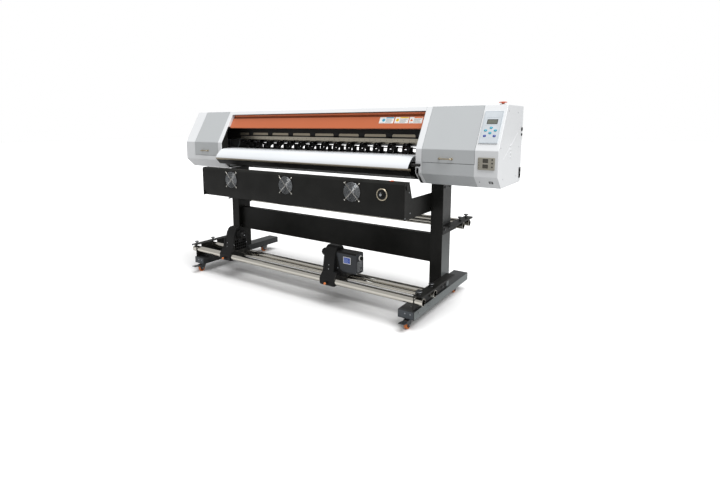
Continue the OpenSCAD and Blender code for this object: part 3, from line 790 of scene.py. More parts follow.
def build_control_panel():
    plate = Shape().prism(rounded_rect(PANEL_X0, PANEL_S0, PANEL_X1, PANEL_S1, 3), PANEL_T, ON_SLOPE, 0.7)
    wells = Shape()
    for x, s in KEY_PLACES:
        wells.prism(rounded_rect(x - 8.5, s - 6.5, x + 8.5, s + 6.5, 5.8), 12,
                    ON_SLOPE @ Matrix.Translation((0, 0, -3)))
    wells.prism(rounded_rect(1207, 159, 1264, 189, 1.5), 4, ON_SLOPE @ Matrix.Translation((0, 0, 3.2)))
    carve(plate, wells).piece("panel_plate", moulded("panel_film", (0.56, 0.60, 0.635), 0.4, 400), "machine",
                              "panel_film", "control_panel")
    line = Shape()
    edges = [(PANEL_X0 + 4, PANEL_S0 + 4, PANEL_X1 - 4, PANEL_S0 + 4.8),
             (PANEL_X0 + 4, PANEL_S1 - 4.8, PANEL_X1 - 4, PANEL_S1 - 4),
             (PANEL_X0 + 4, PANEL_S0 + 4, PANEL_X0 + 4.8, PANEL_S1 - 4),
             (PANEL_X1 - 4.8, PANEL_S0 + 4, PANEL_X1 - 4, PANEL_S1 - 4),
             (1200, 200, 1271, 200.8), (1200, 150, 1271, 150.6), (1200, 75, 1271, 75.6)]
    for x0, s0, x1, s1 in edges:
        line.box((x0, s0, PANEL_T - 0.1), (x1, s1, PANEL_T + 0.12), 0, matrix=ON_SLOPE)
    line.piece("panel_lines", moulded("film_line", (0.30, 0.35, 0.40), 0.4), slot="panel_film")
    bezel = Shape()
    for x0, s0, x1, s1 in ((1207, 159, 1264, 162), (1207, 186, 1264, 189), (1207, 162, 1210, 186),
                           (1261, 162, 1264, 186)):
        bezel.box((x0, s0, 3.2), (x1, s1, 5.2), 0.3, matrix=ON_SLOPE)
    bezel.piece("display_bezel", PLASTIC)
    screen = display_screen()
    glass = Shape().box((1210, 162, 3.2), (1261, 186, 4.2), 0.2, matrix=ON_SLOPE)
    glass.piece("display_glass", screen, slot="panel_film")
    cells = Shape()
    for row in range(2):
        for column in range(14):
            x, s = 1213.5 + 3.3 * column, 166 + 9.5 * row
            cells.box((x, s, 4.15), (x + 2.3, s + 6, 4.25), 0, matrix=ON_SLOPE)
    cells.piece("display_cells", moulded("display_ink", (0.09, 0.10, 0.08), 0.3), slot="panel_film")
    rng = random.Random(5)
    prints = Shape()
    for x, s in KEY_PLACES:
        for k in range(3):
            w = 2 + rng.random() * 1.5
            prints.box((x - 5 + 4 * k, s - 9.6, PANEL_T - 0.1), (x - 5 + 4 * k + w, s - 8.6, PANEL_T + 0.08), 0,
                       matrix=ON_SLOPE)
    prints.piece("key_captions", moulded("film_print", (0.16, 0.22, 0.42), 0.4), slot="panel_film")
    build_keys()


def display_screen():
    s = Shader("display_screen", (0.19, 0.20, 0.17), 0.12, coat=0.6)
    s.vary_color(s.noise(30), (0.24, 0.25, 0.21), 0.3, 0.8)
    return s.material


def build_keys():
    cyan = moulded("key_cyan", (0.012, 0.36, 0.50), 0.3, 300)
    blue = moulded("key_blue", (0.012, 0.035, 0.33), 0.3, 300)
    for k, (x, s) in enumerate(KEY_PLACES):
        node = f"panel_key_{k + 1}"
        key = Shape().prism(rounded_rect(x - 7.8, s - 5.8, x + 7.8, s + 5.8, 5.4, 8), 4.2,
                            ON_SLOPE @ Matrix.Translation((0, 0, 2)), 1.2, 3)
        crown = ON_SLOPE @ Matrix.Translation((x, s, 5.9)) @ Matrix.Diagonal((6.4, 4.4, 1.0, 1))
        key.lathe([(1, -0.4), (1, 0), (0.9, 0.42), (0.7, 0.72), (0.4, 0.92), (0, 1)], crown, 32)
        material, slot = (cyan, "key_cyan") if k < 4 else (blue, "key_blue")
        key.piece(node + "_cap", material, node, slot, node)
        mark = Shape()
        turn = {0: 0, 1: 90, 2: -90, 3: 180}.get(k)
        place = ON_SLOPE @ Matrix.Translation((x, s, 6.6))
        if turn is None:
            mark.ring(place, 1.2, 2.0, 0, 0.38, 0.1, 20)
        else:
            mark.prism([(-1.8, -1.2), (1.8, -1.2), (0, 1.8)], 0.38,
                       place @ Matrix.Rotation(math.radians(turn), 4, "Z"))
        mark.piece(node + "_mark", moulded("key_mark", (0.75, 0.85, 0.88), 0.4), node, slot)


def build_temperature_controller():
    low, high = span("temperature_controller")
    x0, x1, z0, z1 = low.x, high.x, low.z, high.z
    front = low.y
    place = upright(front)
    body = Shape().prism(rounded_rect(x0, z0, x1, z1, 2.5), 6, place @ Matrix.Translation((0, 0, -6)), 0.9)
    cuts = Shape()
    windows = [(x0 + 26, 934, x0 + 55, 955), (x0 + 26, 905, x0 + 55, 926)]
    for a, b, c, d in windows:
        cuts.prism(rounded_rect(a, b, c, d, 1), 6, place @ Matrix.Translation((0, 0, -2)))
    for k in range(3):
        cuts.lathe([(0, -2), (4.2, -2), (4.2, 3), (0, 3)], place @ Matrix.Translation((x1 - 13, 951 - 19 * k, 0)), 24)
    carve(body, cuts).piece("controller_bezel", moulded("controller_case", (0.33, 0.31, 0.26), 0.45), "machine",
                            "controller_grey", "temperature_controller")
    glass = Shape()
    for a, b, c, d in windows:
        glass.box((a, b, -1.9), (c, d, -1.0), 0.2, matrix=place)
    glass.piece("controller_windows", moulded("smoked_window", (0.030, 0.030, 0.026), 0.12), "machine",
                "controller_grey")
    digits = Shape()
    for a, b, c, d in windows:
        for k in range(3):
            seven_segments(digits, place, a + 3.2 + 8.3 * k, b + 3.2, 6.0, 14.0, -0.98)
    digits.piece("controller_digits", moulded("unlit_segment", (0.15, 0.13, 0.10), 0.3), "machine",
                 "controller_grey")
    small = Shape()
    for k in range(4):
        small.lathe([(0, 0), (1.8, 0), (1.8, 0.5), (1.2, 1.0), (0, 1.2)],
                    place @ Matrix.Translation((x0 + 6, 950 - 14.5 * k, 0)), 16)
    for k in range(3):
        small.lathe([(0, -2), (3.9, -2), (3.9, 0.2), (3.2, 0.8), (0, 1.1)],
                    place @ Matrix.Translation((x1 - 13, 951 - 19 * k, 0)), 24)
    small.piece("controller_keys", PLASTIC)


def seven_segments(shape, place, x, z, width, height, depth):
    """Unlit figure-of-eight segments of one digit."""
    t = 0.9
    half = height / 2
    bars = [(0, 0, width, t), (0, half - t / 2, width, half + t / 2), (0, height - t, width, height)]
    bars += [(s, v, s + t, v + half - 1.4 * t) for s in (0, width - t) for v in (t * 1.1, half + t * 0.9)]
    for x0, z0, x1, z1 in bars:
        shape.box((x + x0, z + z0, depth), (x + x1, z + z1, depth + 0.15), 0, matrix=place)


def build_emergency_stop():
    low, high = span("emergency_stop")
    x, y = (low.x + high.x) / 2, (low.y + high.y) / 2
    up = Matrix.Translation((x, y, TOP))
    button = Shape().lathe([(0, -12), (8, -12), (8, 11), (17, 11), (20, 11.8), (21, 12.8), (21, 14.8), (20, 15.8),
                            (16, 17), (10, 17.8), (0, 18)], up, 48)
    for px, py in circle(x, y, 20.6, 24):
        button.rod((px, py, TOP + 12), (px, py, TOP + 15), 0.8, 0.2, 8)
    button.piece("stop_mushroom", moulded("stop_red", (0.58, 0.11, 0.05), 0.28), "emergency_stop", "stop_red",
                 "emergency_stop")
    collar = Shape().ring(up, 8.4, 19, 0, 2, 0.8).ring(up, 8.4, 17, 2, 5, 1.0)
    collar.piece("stop_collar", moulded("stop_collar", (0.55, 0.55, 0.52), 0.4), slot="controller_grey")


# ---------------------------------------------------------------- bridge


HOOD_X0, HOOD_X1 = INNER_LEFT + 2, INNER_RIGHT - 2
HOOD_S0, HOOD_S1, HOOD_FACE = 147, 262, -21.5


def build_hood():
    shell = Shape().prism(rounded_rect(HOOD_X0, HOOD_S0, HOOD_X1, HOOD_S1, 9, 8), 10,
                          ON_SLOPE @ Matrix.Translation((0, 0, HOOD_FACE - 10)), 1.6, 3)
    cuts = Shape().prism(rounded_rect(HOOD_X0 - 20, 230, HOOD_X1 + 20, 248, 1.5), 10,
                         ON_SLOPE @ Matrix.Translation((0, 0, HOOD_FACE - 6)))
    cuts.prism(rounded_rect(HOOD_X0 + 6, 153, HOOD_X1 - 6, 225, 4), 7.5,
               ON_SLOPE @ Matrix.Translation((0, 0, HOOD_FACE - 11.5)))
    carve(shell, cuts).piece("hood_shell", ORANGE, "front_hood", "orange_paint", "front_hood")
    # An inlay on the groove floor in a darker orange: painted shade in the groove.
    floor = Shape().box((HOOD_X0 + 0.5, 230.3, HOOD_FACE - 6.1), (HOOD_X1 - 0.5, 247.7, HOOD_FACE - 5.8), 0,
                        matrix=ON_SLOPE)
    floor.piece("hood_groove_painted_shade", PAINTED_GROOVE_SHADE, "front_hood")
    # Painted light: a lighter orange band along the top of the hood, where the top cover's overhang casts shade.
    strip = Shape().box((HOOD_X0 + 8, 248.6, HOOD_FACE - 1), (HOOD_X1 - 8, 260.4, HOOD_FACE + 0.3), 0.2,
                        matrix=ON_SLOPE)
    strip.piece("hood_top_painted_light", paint("orange_painted_light", (0.85, 0.26, 0.12), 0.36), "front_hood", "orange_paint")
    pins = Shape()
    for x0, x1 in ((INNER_LEFT - 2, INNER_LEFT + 6), (INNER_RIGHT - 6, INNER_RIGHT + 2)):
        pins.rod((x0, *HOOD_AXIS), (x1, *HOOD_AXIS), 2, 0.3, 16)
    pins.piece("hood_hinge_pins", ZINC, "front_hood", "bright_steel")
    build_hood_labels()


def build_hood_labels():
    """Three white care labels with a coloured header, a round or triangular sign and dummy lines of print."""
    lift = ON_SLOPE @ Matrix.Translation((0, 0, HOOD_FACE))
    white, grey = Shape(), Shape()
    yellow = moulded("label_yellow", (0.80, 0.50, 0.02), 0.4, 300)
    cyan = moulded("label_cyan", (0.02, 0.36, 0.55), 0.4, 300)
    amber = moulded("label_amber", (0.75, 0.16, 0.02), 0.4, 300)
    rng = random.Random(3)
    for k, (x0, x1, middle, color) in enumerate(((513, 615, 543, cyan), (623, 716, 641, yellow),
                                                 (722, 808, 737, amber))):
        white.prism(rounded_rect(x0, 182, x1, 226, 1.5), 0.25, lift)
        print_x = middle + 15
        sign = Shape()
        if k == 2:
            sign.prism([(middle - 11, 196), (middle + 11, 196), (middle, 215)], 0.35, lift, 0)
        else:
            sign.prism(circle(middle, 205, 11, 28), 0.35, lift)
        sign.box((print_x, 217.5, 0.1), (x1 - 2, 225, 0.35), 0, matrix=lift)
        sign.piece(f"hood_label_sign_{k + 1}", color, "front_hood", "white_paint")
        for row in range(6):
            right = print_x + (x1 - 4 - print_x) * (0.72 + 0.28 * rng.random())
            grey.box((print_x, 185.5 + 5 * row, 0.1), (right, 187.3 + 5 * row, 0.32), 0, matrix=lift)
        grey.box((middle - 1, 201, 0.3), (middle + 1, 208, 0.45), 0, matrix=lift)
        grey.box((x0 + 3, 185, 0.1), (print_x - 4, 186.6, 0.32), 0, matrix=lift)
    white.piece("hood_labels", LABEL_WHITE, "front_hood", "white_paint")
    grey.piece("hood_label_print", moulded("label_print", (0.10, 0.10, 0.10), 0.5, 300), "front_hood", "white_paint")


def build_beam():
    x0, x1 = LEFT_END + 3, RIGHT_END - 3
    a, b = INNER_LEFT + 3, INNER_RIGHT - 3
    beam = Shape().box((x0, 205, 1022), (x1, 275, 1170), 1.2)
    beam.piece("print_beam_body", BLACK, replaces="print_beam")
    rail = [(205, 1100), (197.5, 1100), (195.2, 1101.6), (195.2, 1104), (197, 1105.4), (197, 1109.6),
            (195.2, 1111), (195.2, 1113.4), (197.5, 1115), (205, 1115)]
    Shape().along(x0, x1, rail).piece("linear_rail", RAIL)
    strip = Shape().along(a, b, [(205.2, 1023), (203.8, 1023), (203.4, 1024), (203.4, 1045.5), (203.8, 1046.6),
                                 (205.2, 1046.6)])
    strip.box((a, 248, 1006), (b, 252, 1022), 0.5)
    strip.piece("beam_lower_strip", ALLOY)
    window = Shape().box((a, 204.2, 1055.5), (b, 205.1, 1073), 0.2)
    window.piece("beam_window", WINDOW)
    tabs = Shape().box((a, 203.5, 1046.8), (b, 205.1, 1056), 0.3)
    for k in range(8):
        x = -732 + 211.5 * k
        if x - 24 > a and x + 24 < b:
            tabs.along(x - 23.5, x + 23.5, [(205.1, 1045), (203.5, 1045), (203.5, 1080), (205.1, 1080)], 0.4)
            for s in (-1, 1):
                corner = [(x + s * 23.4, 1073.5), (x + s * 31, 1073.5), (x + s * 27, 1071), (x + s * 23.4, 1066)]
                tabs.prism(corner, 0.9, upright(205))
    tabs.piece("beam_tabs", PLASTIC, slot="black_powder_coat")
    dots = Shape()
    for k in range(int((b - a) / 42)):
        dots.lathe([(0, 0), (2.6, 0), (2.6, 0.15), (0, 0.2)], facing(a + 30 + 42 * k, 203.42, 1033, (0, -1, 0)), 16)
    for k in range(int((x1 - x0) / 60)):
        dots.lathe([(0, 0), (2.2, 0), (2.2, 0.1), (0, 0.1)], facing(x0 + 30 + 60 * k, 197, 1107.5, (0, -1, 0)), 12)
    dots.piece("beam_screws", DARK_ZINC)
    strip = Shape().box((a, 203.2, 1143), (b, 203.6, 1149), 0.1)
    strip.box((a, 203.4, 1141.5), (b, 205.0, 1143.3), 0.2)
    strip.piece("encoder_strip", moulded("encoder_film", (0.10, 0.10, 0.10), 0.15, 300), slot="beam_aluminium")


def build_carriage():
    refine("carriage", PLASTIC, large=7, large_length=100, small=0.6,
           pick=lambda e: all(v.co.y < 160 for v in e.verts))
    refine("cap_station", PLASTIC, small=0.8)
    low, high = span("carriage")
    x0, x1 = low.x, high.x
    panel = Shape()
    for k in range(5):
        panel.along(x0 + 16, x1 - 16, [(80.2, 1060 - 7 * k), (78.9, 1060.4 - 7 * k), (78.9, 1062.6 - 7 * k),
                                       (80.2, 1063 - 7 * k)])
    panel.piece("carriage_ribs", DARK, "carriage", "black_plastic")
    heads = Shape()
    for k in range(2):
        heads.box((x0 + 60 + 80 * k, 100, 955.2), (x0 + 110 + 80 * k, 150, 957.5), 0.6)
    heads.piece("print_heads", ZINC, "carriage", "bright_steel")
    tubes = Shape()
    for k in range(4):
        x = x0 + 70 + 34 * k
        tubes.lathe([(0, 0), (9, 0), (9, 5), (7.5, 7), (0, 7)], facing(x, 170, 1163, (0, 0, 1)), 24)
    tubes.piece("ink_dampers", RUBBER, "carriage")
    pads = Shape()
    for k in range(4):
        pads.prism(rounded_rect(905 + 58 * k, 98, 941 + 58 * k, 148, 6), 10, Matrix.Translation((0, 0, 939)), 1.5)
    pads.piece("cap_seals", RUBBER)


# ---------------------------------------------------------------- media path


def band(path, thickness):
    """Outline of a bent sheet: the path and its copy pushed to the right-hand side."""
    points = [Vector(p) for p in path]
    other = []
    for k, p in enumerate(points):
        ahead = (points[min(k + 1, len(points) - 1)] - points[max(k - 1, 0)]).normalized()
        other.append(p + Vector((ahead.y, -ahead.x)) * thickness)
    return [tuple(p) for p in points + other[::-1]]


def build_media_path():
    x0, x1 = INNER_LEFT + 0.1, INNER_RIGHT - 0.1
    x2 = INNER_RIGHT - 20
    refine("platen", GUIDE, small=0.6)
    holes = Shape()
    for row in range(4):
        for k in range(83):
            x = INNER_LEFT + 22 + 20 * k + 10 * (row % 2)
            holes.lathe([(0, -0.5), (1.3, -0.5), (1.3, 0.06), (0, 0.06)],
                        Matrix.Translation((x, 76 + 20 * row, 952)), 10)
    holes.box((x0 + 2, 166.5, 951.5), (x1 - 2, 170, 952.1))
    holes.piece("vacuum_holes", RUBBER, slot="white_paint")
    path = spline([(60, 951), (30, 951), (8, 947), (-12, 937), (-30, 921), (-46, 904), (-56, 889), (-58, 880),
                   (-54, 872), (-40, 872)], 4)
    Shape().along(x0, x2, band(path, -2.5)).piece("front_guide_skin", GUIDE, replaces="front_guide")
    # Painted shade and reflection: a thin tan band in the window alloy along the curled lower edge of the white guide.
    shaded_lip = [p for p in path if p.x < -50 and p.y < 885]
    Shape().along(x0, x1, band(shaded_lip, 0.6)).piece("front_guide_lip_painted_shade", WINDOW, slot="white_paint")
    refine("lower_guide", BLACK, small=0.7)
    heater = Shape()
    for x in (INNER_LEFT + 26, x2 - 26):
        heater.box((x - 16, 2, 826.5), (x + 16, 6, 836), 0.8)
    for k in range(7):
        x = INNER_LEFT + 60 + (x2 - INNER_LEFT - 120) * k / 6
        heater.cap_screw((x, 40, 823), (x, 40 - 2.6, 819), 4)
    heater.piece("lower_guide_brackets", ZINC, slot="black_powder_coat")
    refine("rear_guide", BLACK, large=5, large_length=500, small=0.6, pick=lambda e: all(v.co.y > 390 for v in e.verts))
    refine("chassis_beam", BLACK, large=3, large_length=500, small=0.5)
    back = Shape()
    for k in range(9):
        x = INNER_LEFT + 80 + 190 * k
        back.hexagon((x, 330, 900), (x, 333.5, 900), 6.5, 0.8)
        back.hexagon((x, 330, 806), (x, 333.5, 806), 6.5, 0.8)
    back.piece("chassis_bolts", DARK_ZINC)
    build_rollers()
    build_lever()


def build_rollers():
    low, high = span("feed_roller")
    y, z, r = (low.y + high.y) / 2, (low.z + high.z) / 2, (high.z - low.z) / 2
    roller = Shape().rod((low.x, y, z), (high.x, y, z), 6, 0.4)
    roller.rod((INNER_LEFT + 4, y, z), (INNER_RIGHT - 4, y, z), r - 0.3, 0.5, 64)
    roller.piece("feed_roller_core", ALLOY, "feed_roller", SLOT_OF["feed_roller"], "feed_roller")
    grit = Shape()
    centres = pinch_centres()
    for x in centres:
        grit.ring(facing(x - 22, y, z, (1, 0, 0)), r - 1, r, 0, 44, 0.2, 64)
    grit.piece("feed_roller_grit", moulded("grit_coat", (0.18, 0.17, 0.155), 0.7, 2500), "feed_roller",
               SLOT_OF["feed_roller"])
    low, high = span("pinch_rollers")
    y, z, r = (low.y + high.y) / 2, (low.z + high.z) / 2, (high.z - low.z) / 2
    tyres, axles = Shape(), Shape()
    for x in centres:
        tyres.lathe([(3.2, 0), (r - 0.8, 0), (r, 0.8), (r, 11.6), (r - 0.9, 12.2), (r - 0.9, 13.8), (r, 14.4),
                     (r, 25.2), (r - 0.8, 26), (3.2, 26), (3.2, 0)], facing(x - 13, y, z, (1, 0, 0)), 40)
        axles.rod((x - 18, y, z), (x + 18, y, z), 3, 0.4, 20)
    tyres.piece("pinch_tyres", RUBBER, "pinch_rollers", SLOT_OF["pinch_rollers"], "pinch_rollers")
    axles.piece("pinch_axles", ZINC, "pinch_rollers", SLOT_OF["pinch_rollers"])
    shaft = Shape()
    low, high = span("pinch_arms")
    shaft.rod((low.x, *PINCH_AXIS), (high.x, *PINCH_AXIS), 6, 0.5, 32)
    shaft.piece("pinch_shaft", ZINC, "pinch_arms", SLOT_OF["pinch_arms"])
    arms, springs = Shape(), Shape()
    cheek = [(178, 962), (181, 957.4), (187, 955.6), (195, 956), (199, 959), (204, 972), (222, 982), (238, 991),
             (242, 997), (242, 1006), (238, 1012), (231, 1016), (212, 1016), (200, 1010), (190, 1000), (184, 990)]
    for x in centres:
        for x0, x1 in ((x - 18, x - 13.6), (x + 13.6, x + 18)):
            arms.along(x0, x1, cheek, 0.8)
        for x0, x1 in ((x - 18, x - 3.5), (x + 3.5, x + 18)):
            arms.along(x0, x1, circle(212, 1005, 12.5, 28), 1.2)
        arms.along(x - 14, x + 14, [(186, 988), (194, 986.5), (206, 979.5), (212, 980), (238, 993), (240, 1004),
                                    (230, 1010), (212, 1010), (196, 1002)], 1.2)
        coil = [(x + 3.0 * math.cos(a), 203 + 3.0 * math.sin(a), 1006 + a * 0.13)
                for a in (2 * math.pi * j / 10 for j in range(31))]
        springs.sweep(coil, 0.7, 6)
    stays = Shape()
    for x in centres:
        stays.along(x - 15, x + 15, [(262, 952), (292, 952), (292, 958), (274, 962), (276, 984), (266, 990),
                                     (260, 984)], 1.5)
        stays.rod((x - 17, 268, 984), (x + 17, 268, 984), 7, 1, 20)
        stays.sweep([(x, 268, 984), (x, 246, 992)], 2.4, 10)
    stays.rod((INNER_LEFT + 1, 268, 984), (INNER_RIGHT - 1, 268, 984), 4, 0.4, 20)
    stays.piece("pinch_rear_stays", PLASTIC)
    arms.piece("pinch_arm_bodies", PLASTIC, "pinch_arms", SLOT_OF["pinch_arms"], "pinch_arms")
    springs.piece("pinch_springs", ZINC, "pinch_arms", SLOT_OF["pinch_arms"])


def pinch_centres():
    low, high = span("pinch_rollers")
    first, last = low.x + 18, high.x - 18
    count = 15
    return [first + (last - first) * k / (count - 1) for k in range(count)]


def build_lever():
    refine("pinch_lever", PLASTIC, small=1.0)
    grip = Shape().lathe([(0, 0), (8.6, 0), (9.2, 1), (9.2, 3), (8.4, 4), (8.4, 36), (9.2, 38), (8.6, 41), (6, 42.6),
                          (0, 42.8)], facing(INNER_RIGHT - 1.0, -24, 905, (1, 0, 0)), 32)
    grip.piece("lever_grip", RUBBER, "pinch_lever", SLOT_OF["pinch_lever"])


# ---------------------------------------------------------------- dryer


FAN_Z = 743
FAN_FACE = span("dryer_case")[0].y


def fan_places():
    return [(span(f"dryer_fan_{k}")[0].x + span(f"dryer_fan_{k}")[1].x) / 2 for k in (1, 2, 3)]


def build_dryer():
    low, high = span("dryer_arms")
    refine("dryer_case", BLACK, large=4, large_length=500, small=0.5)
    refine("dryer_arms", BLACK, small=0.8)
    bosses = Shape().box((low.x + 8, -111, 645), (high.x - 8, -108, 712))
    screws = Shape()
    for x, out in ((low.x, -1), (high.x, 1)):
        for y, z in ((-135, 760), (-183, 619), (-120, 640), (262, 650), (262, 700)):
            screws.pan_screw(facing(x, y, z, (out, 0, 0)), 4, 1.6)
        bosses.rod((x, -160, 790), (x + out * 5, -160, 790), 14, 1.2, 40)
    for k in range(8):
        x = -770 + 220 * k
        screws.pan_screw(facing(x, -98, 712, (0, 1, 0)), 3.4, 1.2)
    screws.piece("dryer_screws", ZINC)
    bosses.piece("dryer_bosses", PLASTIC)
    frames, wires, hubs, rings = Shape(), Shape(), Shape(), Shape()
    for k, x in enumerate(fan_places()):
        face = facing(x, FAN_FACE, FAN_Z, (0, -1, 0))
        frames.ring(face, 54.8, 57.4, -24, -0.6, 0.8, 64)
        for a in range(4):
            turn = math.pi / 4 + a * math.pi / 2
            c, s = math.cos(turn), math.sin(turn)
            frames.rod((x + 33 * c, -160, FAN_Z + 33 * s), (x + 56 * c, -162, FAN_Z + 56 * s), 3.2, 0.4, 12)
        for r in range(9, 58, 4):
            rings.sweep([(px, FAN_FACE - 1.4, pz) for px, pz in circle(x, FAN_Z, r, 56)], 0.75, 6, closed=True)
        for a in range(4):
            turn = math.pi / 4 + a * math.pi / 2
            c, s = math.cos(turn), math.sin(turn)
            wires.sweep([(x + 1 * c, FAN_FACE - 2, FAN_Z + 1 * s), (x + 70 * c, FAN_FACE - 2, FAN_Z + 70 * s)],
                        1.1, 10)
            screw_x, screw_z = x + 73.5 * c, FAN_Z + 73.5 * s
            wires.sweep([(px, FAN_FACE - 1.4, pz) for px, pz in circle(screw_x, screw_z, 3.8, 16)], 1.0, 8,
                        closed=True)
            hubs.pan_screw(facing(screw_x, FAN_FACE, screw_z, (0, -1, 0)), 3.2, 2.4)
        build_fan(k + 1, x)
    frames.piece("fan_frames", PLASTIC)
    wires.piece("fan_guard_arms", CHROME, "machine", SLOT_OF["dryer_guards"], "dryer_guards")
    rings.piece("fan_guard_rings", ZINC, "machine", SLOT_OF["dryer_guards"])
    hubs.piece("fan_guard_screws", ZINC)
    build_dryer_controls()


def build_fan(number, x):
    node = f"dryer_fan_{number}"
    place = Matrix.Translation((x, -185, FAN_Z)) @ Matrix.Rotation(-math.pi / 2, 4, "X")
    hub = Shape().lathe([(0, 0.4), (15, 0), (18.6, 0.6), (20, 2.2), (20, 17), (19, 18), (4, 18), (4, 29), (0, 29)],
                        place, 48)
    blades = 7
    for blade in range(blades):
        bm = bmesh.new()
        start = 2 * math.pi * blade / blades
        layers = []
        for side in (0, 1.3):
            grid = []
            for i in range(7):
                r = 19 + 34 * i / 6
                chord = math.radians(40 - 6 * i / 6)
                lead = start + math.radians(9) * i / 6
                grid.append([bm.verts.new((r * math.cos(lead + chord * j / 5), r * math.sin(lead + chord * j / 5),
                                           4 + side + 10.5 * j / 5 + 1.6 * math.sin(math.pi * j / 5)))
                             for j in range(6)])
            layers.append(grid)
        for grid in layers:
            for i in range(6):
                for j in range(5):
                    bm.faces.new((grid[i][j], grid[i + 1][j], grid[i + 1][j + 1], grid[i][j + 1]))
        rims = [[(i, 0) for i in range(7)], [(i, 5) for i in range(7)], [(0, j) for j in range(6)],
                [(6, j) for j in range(6)]]
        for rim in rims:
            for p, q in zip(rim, rim[1:]):
                bm.faces.new((layers[0][p[0]][p[1]], layers[0][q[0]][q[1]], layers[1][q[0]][q[1]],
                              layers[1][p[0]][p[1]]))
        bmesh.ops.recalc_face_normals(bm, faces=bm.faces[:])
        hub.add(bm, place)
    hub.piece(node + "_rotor", PLASTIC, node, SLOT_OF[node], node)
    badge = Shape().lathe([(0, -0.1), (11, -0.1), (11, 0.3), (0, 0.3)],
                          Matrix.Translation((x, -184.9, FAN_Z)) @ Matrix.Rotation(math.pi / 2, 4, "X"), 32)
    for bar in range(3):
        badge.box((x - 6, -185.5, FAN_Z - 4 + 3 * bar), (x + 6, -185.1, FAN_Z - 3 + 3 * bar))
    badge.piece(node + "_badge", ZINC, node, SLOT_OF[node])


def build_dryer_controls():
    x, z = DIAL_AT
    face = facing(x, FAN_FACE, z, (0, -1, 0))
    scale = Shape().ring(face, 28.5, 35.8, 0, 3.2, 1.2, 64)
    scale.piece("dial_scale_ring", steel("dial_ring", (0.62, 0.55, 0.42), 0.25, (2, 2, 2)), slot="bright_steel")
    plate = Shape().ring(face, 4.3, 29, 0, 3.12, 0.3, 48)
    plate.piece("dial_plate", PLASTIC)
    ticks = Shape()
    for k in range(11):
        a = math.radians(-45 + 27 * k)
        tick = face @ Matrix.Rotation(a, 4, "Z")
        ticks.box((29.5, -0.6, 3.1), (34, 0.6, 3.3), 0, matrix=tick)
    ticks.piece("dial_ticks", DARK, slot="black_plastic")
    knob = Shape().lathe([(0, -6), (4, -6), (4, 3.4), (15, 3.4), (17, 4.2), (17, 8), (14.6, 9.2), (13.4, 16.4),
                          (12.4, 17.6), (0, 17.6)], face, 48)
    for (x_foot, z_foot), (x_end, z_end) in zip(circle(x, z, 14.2, 18), circle(x, z, 13.0, 18)):
        knob.rod((x_foot, FAN_FACE - 9, z_foot), (x_end, FAN_FACE - 17, z_end), 0.8, 0.2, 8)
    knob.piece("dial_knob", PLASTIC, "dryer_dial", SLOT_OF["dryer_dial"], "dryer_dial")
    cap = Shape().lathe([(0, 17.4), (7.5, 17.4), (7.5, 18), (7, 18.4), (0, 18.4)], face, 40)
    cap.box((x - 1, FAN_FACE - 18.9, z + 3), (x + 1, FAN_FACE - 17.4, z + 15), 0.2)
    cap.piece("dial_cap", ZINC, "dryer_dial", SLOT_OF["dryer_dial"])
    bezel = Shape()
    switch = span("dryer_switch")[0].x
    for a, b, c, d in ((-3, -175, -0.4, -147), (20.4, -175, 23, -147), (-1, -175, 21, -172.6), (-1, -149.4, 21, -147)):
        bezel.box((switch + a, b, 819.4), (switch + c, d, 821.6), 0.5)
    bezel.piece("rocker_bezel", PLASTIC)
    rocker = Shape().along(switch, switch + 20, [(-172, 817), (-172, 823), (-170.6, 824), (-167, 822.6), (-161, 821.6),
                                                 (-155, 822.6), (-151.4, 824), (-150, 823), (-150, 817)], 0.4)
    rocker.piece("rocker_cap", moulded("rocker_orange", (0.72, 0.10, 0.012), 0.25, 300), "dryer_switch",
                 SLOT_OF["dryer_switch"], "dryer_switch")


# ---------------------------------------------------------------- stand


